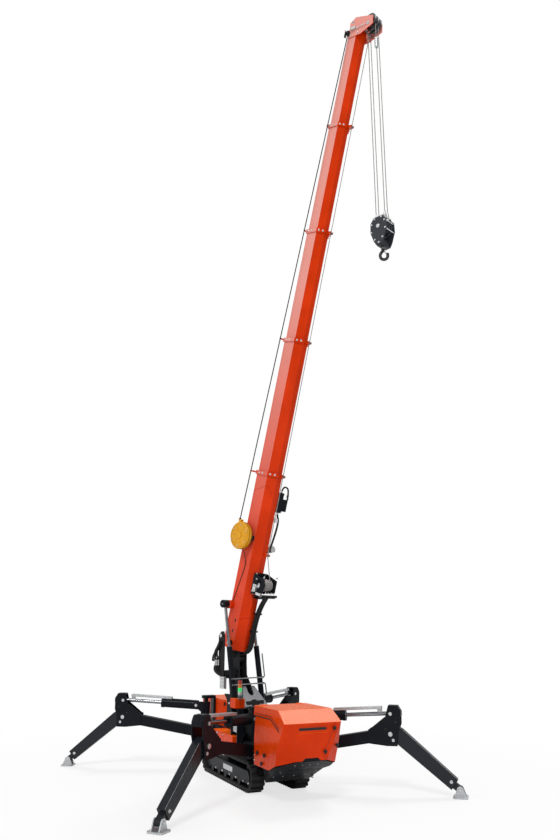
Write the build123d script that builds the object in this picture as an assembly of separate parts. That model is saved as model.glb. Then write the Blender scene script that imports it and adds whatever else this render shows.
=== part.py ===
from build123d import *
import math
import os

# Crawler crane on rubber tracks with four folding outrigger legs and a telescopic boom.
# Millimetres. z = 0 is the ground, +X points to the engine hood, +Y to the machine's left.
# Every piece is drawn about the slewing axis and then set behind the middle of the footprint.
slew_axis_x = -150.0

# Clearances
pin_clearance = 0.05
rod_clearance = 0.5
face_gap = 0.3
panel_gap = 6.0
slide_clearance = 0.2
rope_clearance = 0.1

# Tracks
track_gauge = 620.0
track_width = 180.0
track_axle_x = 790.0
belt_radius = 165.0
belt_thickness = 30.0
lug_height = 20.0
lug_length = 34.0
lug_count = 58
track_beam_width = 120.0
track_beam_height = 130.0
roller_radius = 52.0
roller_count = 5

# Chassis
beam_half_width = 190.0
beam_bottom = 360.0
beam_top = 600.0
beam_front_x = 1000.0
beam_rear_x = -1300.0
cross_arm_x = 380.0
cross_arm_length = 140.0
kingpin_radius = 30.0
lug_plate_thickness = 40.0
web_thickness = 15.0
tie_bore_radius = 20.0
tie_plate_thickness = 30.0

# Slewing ring and turret
ring_radius = 280.0
ring_height = 60.0
turret_plate_height = 40.0
turret_block_height = 300.0
cheek_inner = 165.0
cheek_thickness = 25.0
slew_heading = 22.0
pivot_x = -300.0
pivot_z = 1780.0
pivot_pin_radius = 30.0
rail_radius = 14.0
rail_heights = [1210.0, 1300.0]
cheek_waist_z = 1300.0

# Boom
boom_elevation = 74.5
boom_half_width = 155.0
boom_half_height = 165.0
boom_knuckle_z = -60.0
boom_floor_half_width = 53.0
boom_wall = 5.0
boom_step = 10.0
boom_tail = -90.0
collar_positions = [2527.0, 4592.0, 6347.0, 8103.0]
head_start = 9580.0
tube_end = 9700.0
section_overlap = 400.0
slide_pad_length = 60.0
collar_length = 60.0
collar_lip = 16.0
head_plate_thickness = 12.0
sheave_s = 9720.0
sheave_drop = 270.0
sheave_rim_radius = 82.0
sheave_rope_radius = 75.0
sheave_width = 28.0
sheave_axle_radius = 15.0
fall_spacing = 70.0
jib_bore_radius = 12.5
jib_bore_s = 9840.0
jib_bore_z = 60.0

# Lift cylinders
lift_lateral = 270.0
lift_foot_x = -80.0
lift_foot_z = 960.0
lift_eye_s = 515.0
lift_eye_z = 164.0
lift_barrel_radius = 40.0
lift_barrel_length = 769.0
lift_rod_radius = 22.0
lift_pin_radius = 22.0
lift_eye_radius = 40.0
lift_eye_width = 66.0
lift_boss_radius = 60.0

# Winch, cable reel and work light
winch_s = 900.0
winch_drop = 290.0
winch_half_width = 130.0
winch_plate_thickness = 12.0
drum_radius = 75.0
drum_flange_radius = 110.0
drum_axle_radius = 18.0
reel_s = 1530.0
reel_z = 150.0
reel_radius = 215.0
reel_width = 60.0
light_s = 1350.0
light_size = 90.0

# Hoist
rope_radius = 6.0
block_top = 7680.0
block_bottom = 7100.0
block_half_width = 170.0
block_half_thickness = 80.0
weight_radius = 30.0
weight_height = 170.0
weight_top = 10780.0
hook_ring_radius = 62.0
hook_bar_radius = 18.0

# Outrigger legs, in each leg's upright plane from its swing axis
leg_roots = {
    "front_left": (760.0, 300.0),
    "front_right": (760.0, -300.0),
    "rear_left": (-1138.0, 300.0),
    "rear_right": (-1138.0, -300.0),
}
foot_x = 2111.0
post_bottom = 425.0
post_top = 955.0
post_radius = 60.0
post_plate_inner = 75.0
post_plate_thickness = 12.0
arm_pin_x = 120.0
arm_pin_z = 550.0
arm_pin_radius = 20.0
arm_half_width = 55.0
arm_height = 130.0
knee_x = 1260.0
knee_z = 690.0
knee_pin_radius = 28.0
knee_plate_thickness = 12.0
leg_cylinder_x = 140.0
leg_cylinder_z = 860.0
leg_cylinder_pin_radius = 18.0
rod_eye_x = 1268.0
rod_eye_z = 927.0
leg_barrel_radius = 42.0
leg_barrel_length = 620.0
leg_rod_radius = 20.0
ankle_x = 2072.0
ankle_z = 88.0
ankle_pin_radius = 16.0
lower_leg_half_width = 45.0
lower_leg_height = 110.0
foot_radius = 110.0
foot_thickness = 22.0

# Hood, covers and lamps
hood_back_x = 1000.0
hood_top = 1032.0
hood_top_front_x = 1661.0
hood_nose_x = 1878.0
hood_nose_z = 900.0
hood_chin_x = 1653.0
hood_chin_z = 430.0
hood_corner_x = 1409.0
hood_bottom = 354.0
hood_top_half_width = 359.0
hood_bottom_half_width = 399.0
hood_wall = 12.0
lid_seam_z = 930.0
lid_hinge_radius = 7.0
lid_hinge_y = 250.0


def box(x0, x1, y0, y1, z0, z1):
    """Block between three pairs of limits."""
    middle = Pos((x0 + x1) / 2, (y0 + y1) / 2, (z0 + z1) / 2)
    return middle * Box(abs(x1 - x0), abs(y1 - y0), abs(z1 - z0))


def plate(points, y0, y1):
    """Plate cut to an outline in the XZ plane, between two values of Y."""
    face = Plane.XZ * make_face(Polyline(*points, close=True))
    return Pos(0, y0, 0) * extrude(face, amount=y1 - y0, dir=(0, 1, 0))


def cross_bar(radius, x, z, y0, y1):
    """Round bar along Y."""
    return Pos(x, (y0 + y1) / 2, z) * Rot(90, 0, 0) * Cylinder(radius, abs(y1 - y0))


def length_bar(radius, x0, x1, y=0.0, z=0.0):
    """Round bar along X."""
    return Pos((x0 + x1) / 2, y, z) * Rot(0, 90, 0) * Cylinder(radius, abs(x1 - x0))


def pair(piece):
    """A piece and its mirror image across the XZ plane."""
    return [piece, mirror(piece, about=Plane.XZ)]


def at(x, z, angle):
    """Frame whose X axis leaves the point at an upward angle in the XZ plane."""
    return Pos(x, 0, z) * Rot(0, -angle, 0)


def direction(x0, z0, x1, z1):
    """Length and upward angle from one point of the XZ plane to another."""
    return math.hypot(x1 - x0, z1 - z0), math.degrees(math.atan2(z1 - z0, x1 - x0))


nodes = {}


def keep(name, *pieces):
    """Store one node in the crane's own frame, as its separate solids."""
    solids = []
    for piece in pieces:
        solids += (Pos(slew_axis_x, 0, 0) * piece).solids()
    nodes[name] = solids[0] if len(solids) == 1 else Compound(solids)


# Rubber tracks: one closed belt each, with a lug bar at every pitch
wheel_radius = belt_radius - belt_thickness
track_height = 2 * (belt_radius + lug_height)
track_axle_z = track_height / 2
straight_run = 2 * track_axle_x
belt_length = 2 * straight_run + 2 * math.pi * belt_radius


def belt_frame(distance):
    """Place and direction on the belt's outer face, measured from the lower rear end."""
    half_turn = math.pi * belt_radius
    if distance < straight_run:
        return -track_axle_x + distance, -belt_radius, 0.0
    distance -= straight_run
    if distance < half_turn:
        turn = distance / belt_radius
        x = track_axle_x + belt_radius * math.sin(turn)
        return x, -belt_radius * math.cos(turn), math.degrees(turn)
    distance -= half_turn
    if distance < straight_run:
        return track_axle_x - distance, belt_radius, 180.0
    turn = (distance - straight_run) / belt_radius
    x = -track_axle_x - belt_radius * math.sin(turn)
    return x, belt_radius * math.cos(turn), 180.0 + math.degrees(turn)


def track_belt():
    """Belt outline with its lugs, as thick as the track is wide."""
    outline = SlotCenterToCenter(straight_run, 2 * belt_radius)
    lug = Pos(0, -lug_height / 2 + 1) * Rectangle(lug_length, lug_height + 2)
    for index in range(lug_count):
        x, z, turn = belt_frame((index + 0.5) * belt_length / lug_count)
        outline += Pos(x, z) * Rot(0, 0, turn) * lug
    outline -= SlotCenterToCenter(straight_run, 2 * wheel_radius)
    return extrude(Plane.XZ * outline, amount=track_width / 2, both=True)


def track_frame():
    """Side beam with its idler, sprocket and road rollers."""
    half = track_beam_width / 2
    reach = track_axle_x - wheel_radius - 20
    body = box(-reach, reach, -half, half, -track_beam_height / 2, track_beam_height / 2)
    tang = box(-track_axle_x - 40, track_axle_x + 40, -20, 20, -40, 40)
    body += tang
    for end in (-1, 1):
        wheel = cross_bar(wheel_radius, end * track_axle_x, 0, -half + 15, half - 15)
        body += wheel
    spread = 2 * reach / roller_count
    for index in range(roller_count):
        x = -reach + spread * (index + 0.5)
        drop = -wheel_radius + roller_radius
        body += cross_bar(roller_radius, x, drop, -half - 20, half + 20)
    return body


for side, label in ((1, "left"), (-1, "right")):
    spot = Pos(0, side * track_gauge / 2, track_axle_z)
    keep(f"track_{label}", spot * track_belt())
    keep(f"track_frame_{label}", spot * track_frame())

# Chassis: box beam, cross arms to both track frames, and four brackets with their kingpins
chassis = box(beam_rear_x, beam_front_x, -beam_half_width, beam_half_width, beam_bottom, beam_top)
track_beam_inner = track_gauge / 2 - track_beam_width / 2
for end in (-1, 1):
    x = end * cross_arm_x
    half = cross_arm_length / 2
    arm_top = track_axle_z + track_beam_height / 2
    arm_bottom = track_axle_z - track_beam_height / 2
    chassis += box(x - half, x + half, -track_beam_inner, track_beam_inner, arm_bottom, arm_top)
    chassis += box(x - half, x + half, -beam_half_width, beam_half_width, arm_top, beam_bottom)
lower_lug_top = post_bottom - 2
upper_lug_bottom = post_top + 2
for root_x, root_y in leg_roots.values():
    side = 1 if root_y > 0 else -1
    inner = side * (beam_half_width - 20)
    for low in (lower_lug_top - lug_plate_thickness, upper_lug_bottom):
        high = low + lug_plate_thickness
        lug = box(root_x - 70, root_x + 70, inner, root_y, low, high)
        lug += Pos(root_x, root_y, (low + high) / 2) * Cylinder(70, lug_plate_thickness)
        chassis += lug
    web_outer = side * (beam_half_width + web_thickness)
    chassis += box(root_x - 70, root_x + 70, inner, web_outer,
                   beam_bottom + 20, upper_lug_bottom + lug_plate_thickness)
    pin_height = upper_lug_bottom - lower_lug_top + 20
    pin_middle = (upper_lug_bottom + lower_lug_top) / 2
    chassis += Pos(root_x, root_y, pin_middle) * Cylinder(kingpin_radius, pin_height)
tie_z = (beam_bottom + beam_top) / 2 - 40
for side in (-1, 1):
    y = side * (beam_half_width - 60)
    half = tie_plate_thickness / 2
    ear = box(beam_rear_x - 90, beam_rear_x, y - half, y + half, tie_z - 60, tie_z + 60)
    ear -= cross_bar(tie_bore_radius, beam_rear_x - 50, tie_z, y - 40, y + 40)
    chassis += ear
keep("chassis_frame", chassis)

# Engine hood: a tapered shell split along the lid's seam
hood_outline = [
    (hood_back_x, hood_bottom),
    (hood_back_x, hood_top),
    (hood_top_front_x, hood_top),
    (hood_nose_x, hood_nose_z),
    (hood_chin_x, hood_chin_z),
    (hood_corner_x, hood_bottom),
]


def hood_solid(inset):
    """Hood outline with sides that lean out towards the ground, drawn in by a wall."""
    outline = offset(make_face(Polyline(*hood_outline, close=True)), amount=-inset, kind=Kind.INTERSECTION)
    reach = hood_bottom_half_width + 50
    side_view = extrude(Plane.XZ * outline, amount=reach, both=True)
    top = hood_top_half_width - inset
    low = hood_bottom_half_width - inset
    front_view = [(-low, hood_bottom), (low, hood_bottom), (top, hood_top), (-top, hood_top)]
    section = Plane.YZ * make_face(Polyline(*front_view, close=True))
    return side_view & extrude(section, amount=2 * hood_nose_x)


hood_shell = hood_solid(0) - hood_solid(hood_wall)
floor_half_width = hood_bottom_half_width - 2.5 * hood_wall
hood_shell -= box(hood_back_x + hood_wall, hood_nose_x, -floor_half_width, floor_half_width, 0, hood_chin_z)
hood_shell -= box(hood_back_x - 10, hood_back_x + 50, -beam_half_width, beam_half_width, 0, hood_chin_z + 5)
seam = [
    (hood_back_x - 50, lid_seam_z),
    (hood_top_front_x - 150, lid_seam_z),
    (hood_top_front_x + 10, lid_seam_z - 220),
    (hood_chin_x - 60, hood_bottom - 50),
    (hood_nose_x + 50, hood_bottom - 50),
    (hood_nose_x + 50, hood_top + 50),
    (hood_back_x - 50, hood_top + 50),
]
reach = hood_bottom_half_width + 50
lid_zone = make_face(Polyline(*seam, close=True))
lid_block = extrude(Plane.XZ * lid_zone, amount=reach, both=True)
body_cut = extrude(Plane.XZ * offset(lid_zone, amount=panel_gap, kind=Kind.INTERSECTION), amount=reach, both=True)
hinge_x = hood_back_x - 16
hinge_z = hood_top - 4
hood_body = hood_shell - body_cut
hood_lid = hood_shell & lid_block
for side in (-1, 1):
    y = side * lid_hinge_y
    knuckle = cross_bar(2 * lid_hinge_radius, hinge_x, hinge_z, y - 25, y + 25)
    knuckle += box(hinge_x, hood_back_x + hood_wall, y - 25, y + 25, hinge_z - 8, hinge_z + 4)
    knuckle -= cross_bar(lid_hinge_radius + pin_clearance, hinge_x, hinge_z, y - 60, y + 60)
    hood_lid += knuckle
    for ear_side in (-1, 1):
        ear_y = y + ear_side * 35
        ear = box(hinge_x - 14, hinge_x + 10, ear_y - 8, ear_y + 8, lid_seam_z - 60, hinge_z)
        ear += cross_bar(14, hinge_x, hinge_z, ear_y - 8, ear_y + 8)
        ear += box(hinge_x - 14, hood_back_x + 2, ear_y - 8, ear_y + 8, lid_seam_z - 60, lid_seam_z - 30)
        hood_body += ear
    hood_body += cross_bar(lid_hinge_radius, hinge_x, hinge_z, y - 35, y + 35)
keep("hood_body", hood_body)
keep("hood_lid", hood_lid)

# Engine inside the hood, on two rails that carry the hood and the belly from the chassis beam
rail_top = 430.0
rails = []
for side in (-1, 1):
    rails.append(box(beam_front_x, 1560, side * 150 - 30, side * 150 + 30, rail_top - 60, rail_top))
keep("engine_rails", *rails)
keep("engine_block", box(1120, 1520, -210, 210, rail_top, 860))

belly_outline = [(1150, 240), (1600, 190), (1690, 300), (1640, rail_top - 60), (1150, rail_top - 60)]
keep("front_belly", plate(belly_outline, -300, 300))

rear_outline = [
    (-1740, 620), (-1690, 900), (-1600, 960), (-640, 960), (-560, 900), (-560, beam_top), (-1740, beam_top),
]
rear_half_width = beam_half_width - 25
keep("rear_cover", plate(rear_outline, -rear_half_width, rear_half_width))
keep("side_boxes", *pair(box(-550, 250, beam_half_width, 398, 425, beam_top - 5)))
keep("valve_cover", box(255, 530, -400, -beam_half_width, 425, 690) + box(255, 530, -400, -312, 690, 1060))
stack = Pos(420, -360, 1090) * Cylinder(22, 60)
stack += Pos(420, -360, 1210) * Cylinder(27, 180)
keep("stack_light", stack)

# Slewing ring and turret
ring_top = beam_top + ring_height
keep("slew_ring", Pos(0, 0, beam_top + ring_height / 2) * Cylinder(ring_radius, ring_height))


def heading(piece):
    """Turn a piece drawn along +X to the boom's heading."""
    return Rot(0, 0, slew_heading) * piece


turret_bottom = ring_top + face_gap
turret_deck = turret_bottom + turret_plate_height
block_deck = turret_deck + turret_block_height
turret = Pos(0, 0, turret_bottom + turret_plate_height / 2) * Cylinder(ring_radius, turret_plate_height)
turret += box(-330, 100, -cheek_inner, cheek_inner, turret_deck, block_deck)
cheek_outer = cheek_inner + cheek_thickness
cheek_outline = [
    (-330, turret_deck), (80, turret_deck), (80, block_deck), (-150, cheek_waist_z), (-185, pivot_z), (-245, pivot_z + 110),
    (-390, pivot_z + 120), (-455, pivot_z + 40), (-440, cheek_waist_z), (-350, cheek_waist_z - 170),
]
for piece in pair(plate(cheek_outline, cheek_inner, cheek_outer)):
    turret += piece
turret += cross_bar(pivot_pin_radius, pivot_x, pivot_z, -cheek_outer - 15, cheek_outer + 15)
lift_half_width = lift_eye_width / 2
for piece in pair(cross_bar(lift_pin_radius, lift_foot_x, lift_foot_z, cheek_outer - 5, lift_lateral + lift_half_width + 12)):
    turret += piece
keep("turret_frame", heading(turret))
rails = []
for z in rail_heights:
    edge = 80 - 230 * (z - block_deck) / (cheek_waist_z - block_deck)
    rails.append(heading(cross_bar(rail_radius, edge - rail_radius, z, -cheek_inner, cheek_inner)))
keep("guard_rails", *rails)

# Boom: nested tubes, flat on top and keeled towards the hook side, each with a collar at its end
boom_outline = make_face(Polyline(
    (boom_half_width, boom_half_height), (-boom_half_width, boom_half_height), (-boom_half_width, boom_knuckle_z),
    (-boom_floor_half_width, -boom_half_height), (boom_floor_half_width, -boom_half_height),
    (boom_half_width, boom_knuckle_z), close=True))


def boom_prism(inset, s0, s1):
    """Bar of the boom's outline, drawn in or out, between two places along the boom."""
    outline = boom_outline if inset == 0 else offset(boom_outline, amount=-inset, kind=Kind.INTERSECTION)
    return Pos(s0, 0, 0) * extrude(Plane.YZ * outline, amount=s1 - s0)


def boom_place(piece):
    """Set a piece drawn along the boom at its pivot, elevation and heading."""
    return heading(at(pivot_x, pivot_z, boom_elevation) * piece)


def boom_tube(order, s0, s1):
    """Tube of the section of a given order, with its collar and the slide pad round its tail."""
    inset = order * boom_step
    tube = boom_prism(inset, s0, s1)
    if order < len(collar_positions):
        tube += boom_prism(inset - collar_lip, s1 - collar_length, s1)
    if order > 0:
        pad_height = boom_step - boom_wall - slide_clearance
        tube += boom_prism(inset - pad_height, s0, s0 + slide_pad_length)
    return tube - boom_prism(inset + boom_wall, s0 - 10, s1 + 10)


base = boom_tube(0, boom_tail, collar_positions[0])
foot_boss = cross_bar(75, 0, 0, -boom_half_width, boom_half_width)
base += foot_boss & boom_prism(0, -100, 100)
base -= cross_bar(pivot_pin_radius + pin_clearance, 0, 0, -200, 200)
boss_end = lift_lateral - lift_half_width - 9
for piece in pair(cross_bar(lift_boss_radius, lift_eye_s, lift_eye_z - 20, boom_half_width - 3, boss_end)):
    base += piece
keep("boom_base", boom_place(base))
for order in range(1, len(collar_positions)):
    start = collar_positions[order - 1] - section_overlap
    keep(f"boom_section_{order + 1}", boom_place(boom_tube(order, start, collar_positions[order])))

tip_order = len(collar_positions)
tip = boom_tube(tip_order, collar_positions[-1] - section_overlap, tube_end)
tip_half_width = boom_half_width - tip_order * boom_step
head_outline = [
    (head_start, 100), (head_start + 270, 120), (head_start + 340, 20),
    (sheave_s + 110, -sheave_drop - 70), (sheave_s - 40, -sheave_drop - 100), (head_start, -140),
]
head_outer = tip_half_width + head_plate_thickness
for piece in pair(plate(head_outline, tip_half_width, head_outer)):
    tip += piece
tip += cross_bar(sheave_axle_radius, sheave_s, -sheave_drop, -head_outer, head_outer)
tip -= cross_bar(jib_bore_radius, jib_bore_s, jib_bore_z, -head_outer - 5, head_outer + 5)
keep("boom_section_5", boom_place(tip))

# Head sheaves: two grooved wheels on one hub
sheave = cross_bar(30, 0, 0, -tip_half_width + 5, tip_half_width - 5)
for y in (-fall_spacing / 2, fall_spacing / 2):
    wheel = cross_bar(sheave_rim_radius, 0, 0, y - sheave_width / 2, y + sheave_width / 2)
    groove = cross_bar(sheave_rim_radius + 5, 0, 0, y - rope_radius - 2, y + rope_radius + 2)
    groove -= cross_bar(sheave_rope_radius - rope_radius - rope_clearance, 0, 0, y - 20, y + 20)
    sheave += wheel - groove
sheave -= cross_bar(sheave_axle_radius + pin_clearance, 0, 0, -200, 200)
keep("head_sheaves", boom_place(Pos(sheave_s, 0, -sheave_drop) * sheave))

# Lift cylinders: both barrels swing together on the turret, both rods slide out of them
lift_angle = boom_elevation
eye_x = pivot_x + lift_eye_s * math.cos(math.radians(lift_angle)) - lift_eye_z * math.sin(math.radians(lift_angle))
eye_z = pivot_z + lift_eye_s * math.sin(math.radians(lift_angle)) + lift_eye_z * math.cos(math.radians(lift_angle))
lift_length, lift_slope = direction(lift_foot_x, lift_foot_z, eye_x, eye_z)
lift_frame = at(lift_foot_x, lift_foot_z, lift_slope)
barrel = cross_bar(lift_eye_radius, 0, 0, -lift_half_width, lift_half_width)
barrel += length_bar(lift_barrel_radius, 0, lift_barrel_length)
barrel -= cross_bar(lift_pin_radius + pin_clearance, 0, 0, -100, 100)
barrel -= length_bar(lift_rod_radius + rod_clearance, 70, lift_barrel_length + 10)
rod = length_bar(lift_rod_radius, lift_barrel_length - 150, lift_length)
rod += cross_bar(lift_eye_radius, lift_length, 0, -lift_half_width, lift_half_width + 10)
keep("lift_barrels", *[heading(lift_frame * piece) for piece in pair(Pos(0, lift_lateral, 0) * barrel)])
keep("lift_rods", *[heading(lift_frame * piece) for piece in pair(Pos(0, lift_lateral, 0) * rod)])

# Winch under the base section, cable reel on its right side, work light on its left
winch_floor = -boom_half_height
winch_frame = box(winch_s - 150, winch_s + 150, -winch_half_width, winch_half_width, winch_floor - 15, winch_floor)
winch_outline = [
    (winch_s - 150, winch_floor), (winch_s + 150, winch_floor), (winch_s + 90, -winch_drop - 110),
    (winch_s - 90, -winch_drop - 110),
]
for piece in pair(plate(winch_outline, winch_half_width - winch_plate_thickness, winch_half_width)):
    winch_frame += piece
winch_frame += cross_bar(drum_axle_radius, winch_s, -winch_drop, -winch_half_width, winch_half_width)
keep("winch_frame", boom_place(winch_frame))
drum_half_width = winch_half_width - winch_plate_thickness - 6
drum = cross_bar(drum_radius, winch_s, -winch_drop, -drum_half_width, drum_half_width)
for piece in pair(cross_bar(drum_flange_radius, winch_s, -winch_drop, drum_half_width - 12, drum_half_width)):
    drum += piece
drum -= cross_bar(drum_axle_radius + pin_clearance, winch_s, -winch_drop, -200, 200)
keep("winch_drum", boom_place(drum))

reel = cross_bar(40, reel_s, 100, -boom_half_width - 80, -boom_half_width)
reel += cross_bar(reel_radius, reel_s, reel_z, -boom_half_width - 40 - reel_width, -boom_half_width - 40)
keep("cable_reel", boom_place(reel))
light = box(light_s, light_s + light_size, boom_half_width, boom_half_width + 70, -50, 20)
keep("work_light", boom_place(light))

# Hoist: four rope falls, limit weight, hook block and hook, hanging plumb from the sheave axle
axle_x = pivot_x + sheave_s * math.cos(math.radians(boom_elevation)) + sheave_drop * math.sin(math.radians(boom_elevation))
axle_z = pivot_z + sheave_s * math.sin(math.radians(boom_elevation)) - sheave_drop * math.cos(math.radians(boom_elevation))
fall_height = axle_z - block_top
falls = []
for x in (axle_x - sheave_rope_radius, axle_x + sheave_rope_radius):
    for y in (-fall_spacing / 2, fall_spacing / 2):
        falls.append(heading(Pos(x, y, block_top + fall_height / 2) * Cylinder(rope_radius, fall_height)))
keep("hoist_ropes", *falls)
weight = Pos(axle_x + sheave_rope_radius, -fall_spacing / 2, weight_top - weight_height / 2) * (
    Cylinder(weight_radius, weight_height) - Cylinder(rope_radius, weight_height + 10))
keep("limit_weight", heading(weight))
block_outline = [
    (axle_x - 0.6 * block_half_width, block_top), (axle_x + 0.6 * block_half_width, block_top),
    (axle_x + block_half_width, block_top - 140), (axle_x + block_half_width, block_bottom + 220),
    (axle_x + 0.4 * block_half_width, block_bottom), (axle_x - 0.4 * block_half_width, block_bottom),
    (axle_x - block_half_width, block_bottom + 220), (axle_x - block_half_width, block_top - 140),
]
keep("hook_block", heading(plate(block_outline, -block_half_thickness, block_half_thickness)))
hook_top = block_bottom - face_gap
shank_height = 40.0
ring_z = hook_top - shank_height - hook_ring_radius
bowl = Rot(0, 180, 0) * Rot(90, 0, 0) * Torus(hook_ring_radius, hook_bar_radius, major_angle=270)
hook = Pos(axle_x, 0, ring_z) * bowl
hook += Pos(axle_x, 0, hook_top - shank_height / 2 - 5) * Cylinder(hook_bar_radius, shank_height + 10)
keep("hook", heading(hook))

# Outrigger legs: each swings on its kingpin, lifts on its arm pin, folds at the knee and stands on a pad
for name, (root_x, root_y) in leg_roots.items():
    side = 1 if root_y > 0 else -1
    forward = 1 if root_x > 0 else -1
    spread = math.degrees(math.acos((foot_x - abs(root_x)) / ankle_x))
    turn = side * (spread if forward > 0 else 180 - spread)
    leg = Pos(root_x, root_y, 0) * Rot(0, 0, turn)

    plate_outer = post_plate_inner + post_plate_thickness
    post = Pos(0, 0, (post_bottom + post_top) / 2) * Cylinder(post_radius, post_top - post_bottom)
    post += box(-10, 55, -plate_outer, plate_outer, post_bottom + 25, post_top - 20)
    post_outline = [(20, 450), (190, 450), (215, 520), (215, 890), (180, 935), (20, 935)]
    for piece in pair(plate(post_outline, post_plate_inner, plate_outer)):
        post += piece
    post -= Pos(0, 0, knee_z) * Cylinder(kingpin_radius + pin_clearance, 1000)
    post += cross_bar(arm_pin_radius, arm_pin_x, arm_pin_z, -plate_outer - 8, plate_outer + 8)
    post += cross_bar(leg_cylinder_pin_radius, leg_cylinder_x, leg_cylinder_z, -plate_outer - 8, plate_outer + 8)
    keep(f"leg_post_{name}", leg * post)

    arm_length, arm_slope = direction(arm_pin_x, arm_pin_z, knee_x, knee_z)
    arm = cross_bar(50, 0, 0, -post_plate_inner + 5, post_plate_inner - 5)
    arm += box(20, arm_length - 140, -arm_half_width, arm_half_width, -arm_height / 2, arm_height / 2)
    arm -= cross_bar(arm_pin_radius + pin_clearance, 0, 0, -100, 100)
    arm = at(arm_pin_x, arm_pin_z, arm_slope) * arm
    knee_outline = [
        (1000, 598), (1260, 580), (1360, 660), (1345, 900), (1300, 985), (1225, 985), (1170, 900), (1080, 770), (980, 735),
    ]
    knee_outer = arm_half_width + knee_plate_thickness
    for piece in pair(plate(knee_outline, arm_half_width, knee_outer)):
        arm += piece
    arm += cross_bar(knee_pin_radius, knee_x, knee_z, -knee_outer - 15, knee_outer + 15)
    for piece in pair(cross_bar(22, rod_eye_x, rod_eye_z, knee_outer - 1, knee_outer + 14)):
        arm += piece
    keep(f"leg_arm_{name}", leg * arm)

    cylinder_length, cylinder_slope = direction(leg_cylinder_x, leg_cylinder_z, rod_eye_x, rod_eye_z)
    cylinder_frame = leg * at(leg_cylinder_x, leg_cylinder_z, cylinder_slope)
    barrel = cross_bar(40, 0, 0, -60, 60)
    barrel += length_bar(leg_barrel_radius, 0, leg_barrel_length)
    barrel -= cross_bar(leg_cylinder_pin_radius + pin_clearance, 0, 0, -100, 100)
    barrel -= length_bar(leg_rod_radius + rod_clearance, 60, leg_barrel_length + 10)
    keep(f"leg_barrel_{name}", cylinder_frame * barrel)
    rod = length_bar(leg_rod_radius, leg_barrel_length - 150, cylinder_length)
    rod += cross_bar(40, cylinder_length, 0, -arm_half_width + 7, arm_half_width - 7)
    keep(f"leg_rod_{name}", cylinder_frame * rod)

    lower_length, lower_slope = direction(knee_x, knee_z, ankle_x, ankle_z)
    half = lower_leg_height / 2
    lower = cross_bar(80, 0, 0, -lower_leg_half_width, lower_leg_half_width)
    lower += box(30, lower_length - 150, -lower_leg_half_width, lower_leg_half_width, -half, half)
    tip_half = lower_leg_half_width - 7
    lower += box(lower_length - 160, lower_length, -tip_half, tip_half, -33, 33)
    lower += cross_bar(33, lower_length, 0, -tip_half, tip_half)
    lower -= cross_bar(knee_pin_radius + pin_clearance, 0, 0, -100, 100)
    lower -= cross_bar(ankle_pin_radius + pin_clearance, lower_length, 0, -100, 100)
    keep(f"leg_lower_{name}", leg * at(knee_x, knee_z, lower_slope) * lower)

    pad = Pos(ankle_x, 0, foot_thickness / 2) * Cylinder(foot_radius, foot_thickness)
    ear_outline = [
        (ankle_x - 70, foot_thickness - 2), (ankle_x + 70, foot_thickness - 2), (ankle_x + 30, 125), (ankle_x - 30, 125),
    ]
    for piece in pair(plate(ear_outline, lower_leg_half_width, lower_leg_half_width + 12)):
        pad += piece
    pad += cross_bar(ankle_pin_radius, ankle_x, ankle_z, -lower_leg_half_width - 20, lower_leg_half_width + 20)
    keep(f"foot_{name}", leg * pad)

os.makedirs("parts", exist_ok=True)
for name, solid in nodes.items():
    export_step(solid, f"parts/{name}.step")
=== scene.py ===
import bmesh
import bpy
import math
from mathutils import Matrix, Vector


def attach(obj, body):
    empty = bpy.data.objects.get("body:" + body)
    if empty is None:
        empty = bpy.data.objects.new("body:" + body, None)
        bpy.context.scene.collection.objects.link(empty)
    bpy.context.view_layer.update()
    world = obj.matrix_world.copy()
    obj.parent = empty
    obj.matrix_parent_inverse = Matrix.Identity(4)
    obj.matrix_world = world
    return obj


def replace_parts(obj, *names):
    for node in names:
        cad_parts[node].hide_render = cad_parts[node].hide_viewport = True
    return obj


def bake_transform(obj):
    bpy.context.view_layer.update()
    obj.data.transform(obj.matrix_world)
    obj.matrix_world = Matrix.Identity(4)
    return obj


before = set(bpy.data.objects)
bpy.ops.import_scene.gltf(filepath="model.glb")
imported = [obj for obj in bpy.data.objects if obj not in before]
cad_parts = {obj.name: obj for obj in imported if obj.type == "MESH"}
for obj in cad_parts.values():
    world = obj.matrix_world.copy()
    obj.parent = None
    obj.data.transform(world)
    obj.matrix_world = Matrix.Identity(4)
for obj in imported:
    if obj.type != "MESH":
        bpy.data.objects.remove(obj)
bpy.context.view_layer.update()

# Studio
# A plain pale floor under soft light, with the camera standing low in front of the hood's right corner.
# The floor is lit near the machine, where it keeps the shadow, and fades to white further out.


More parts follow.
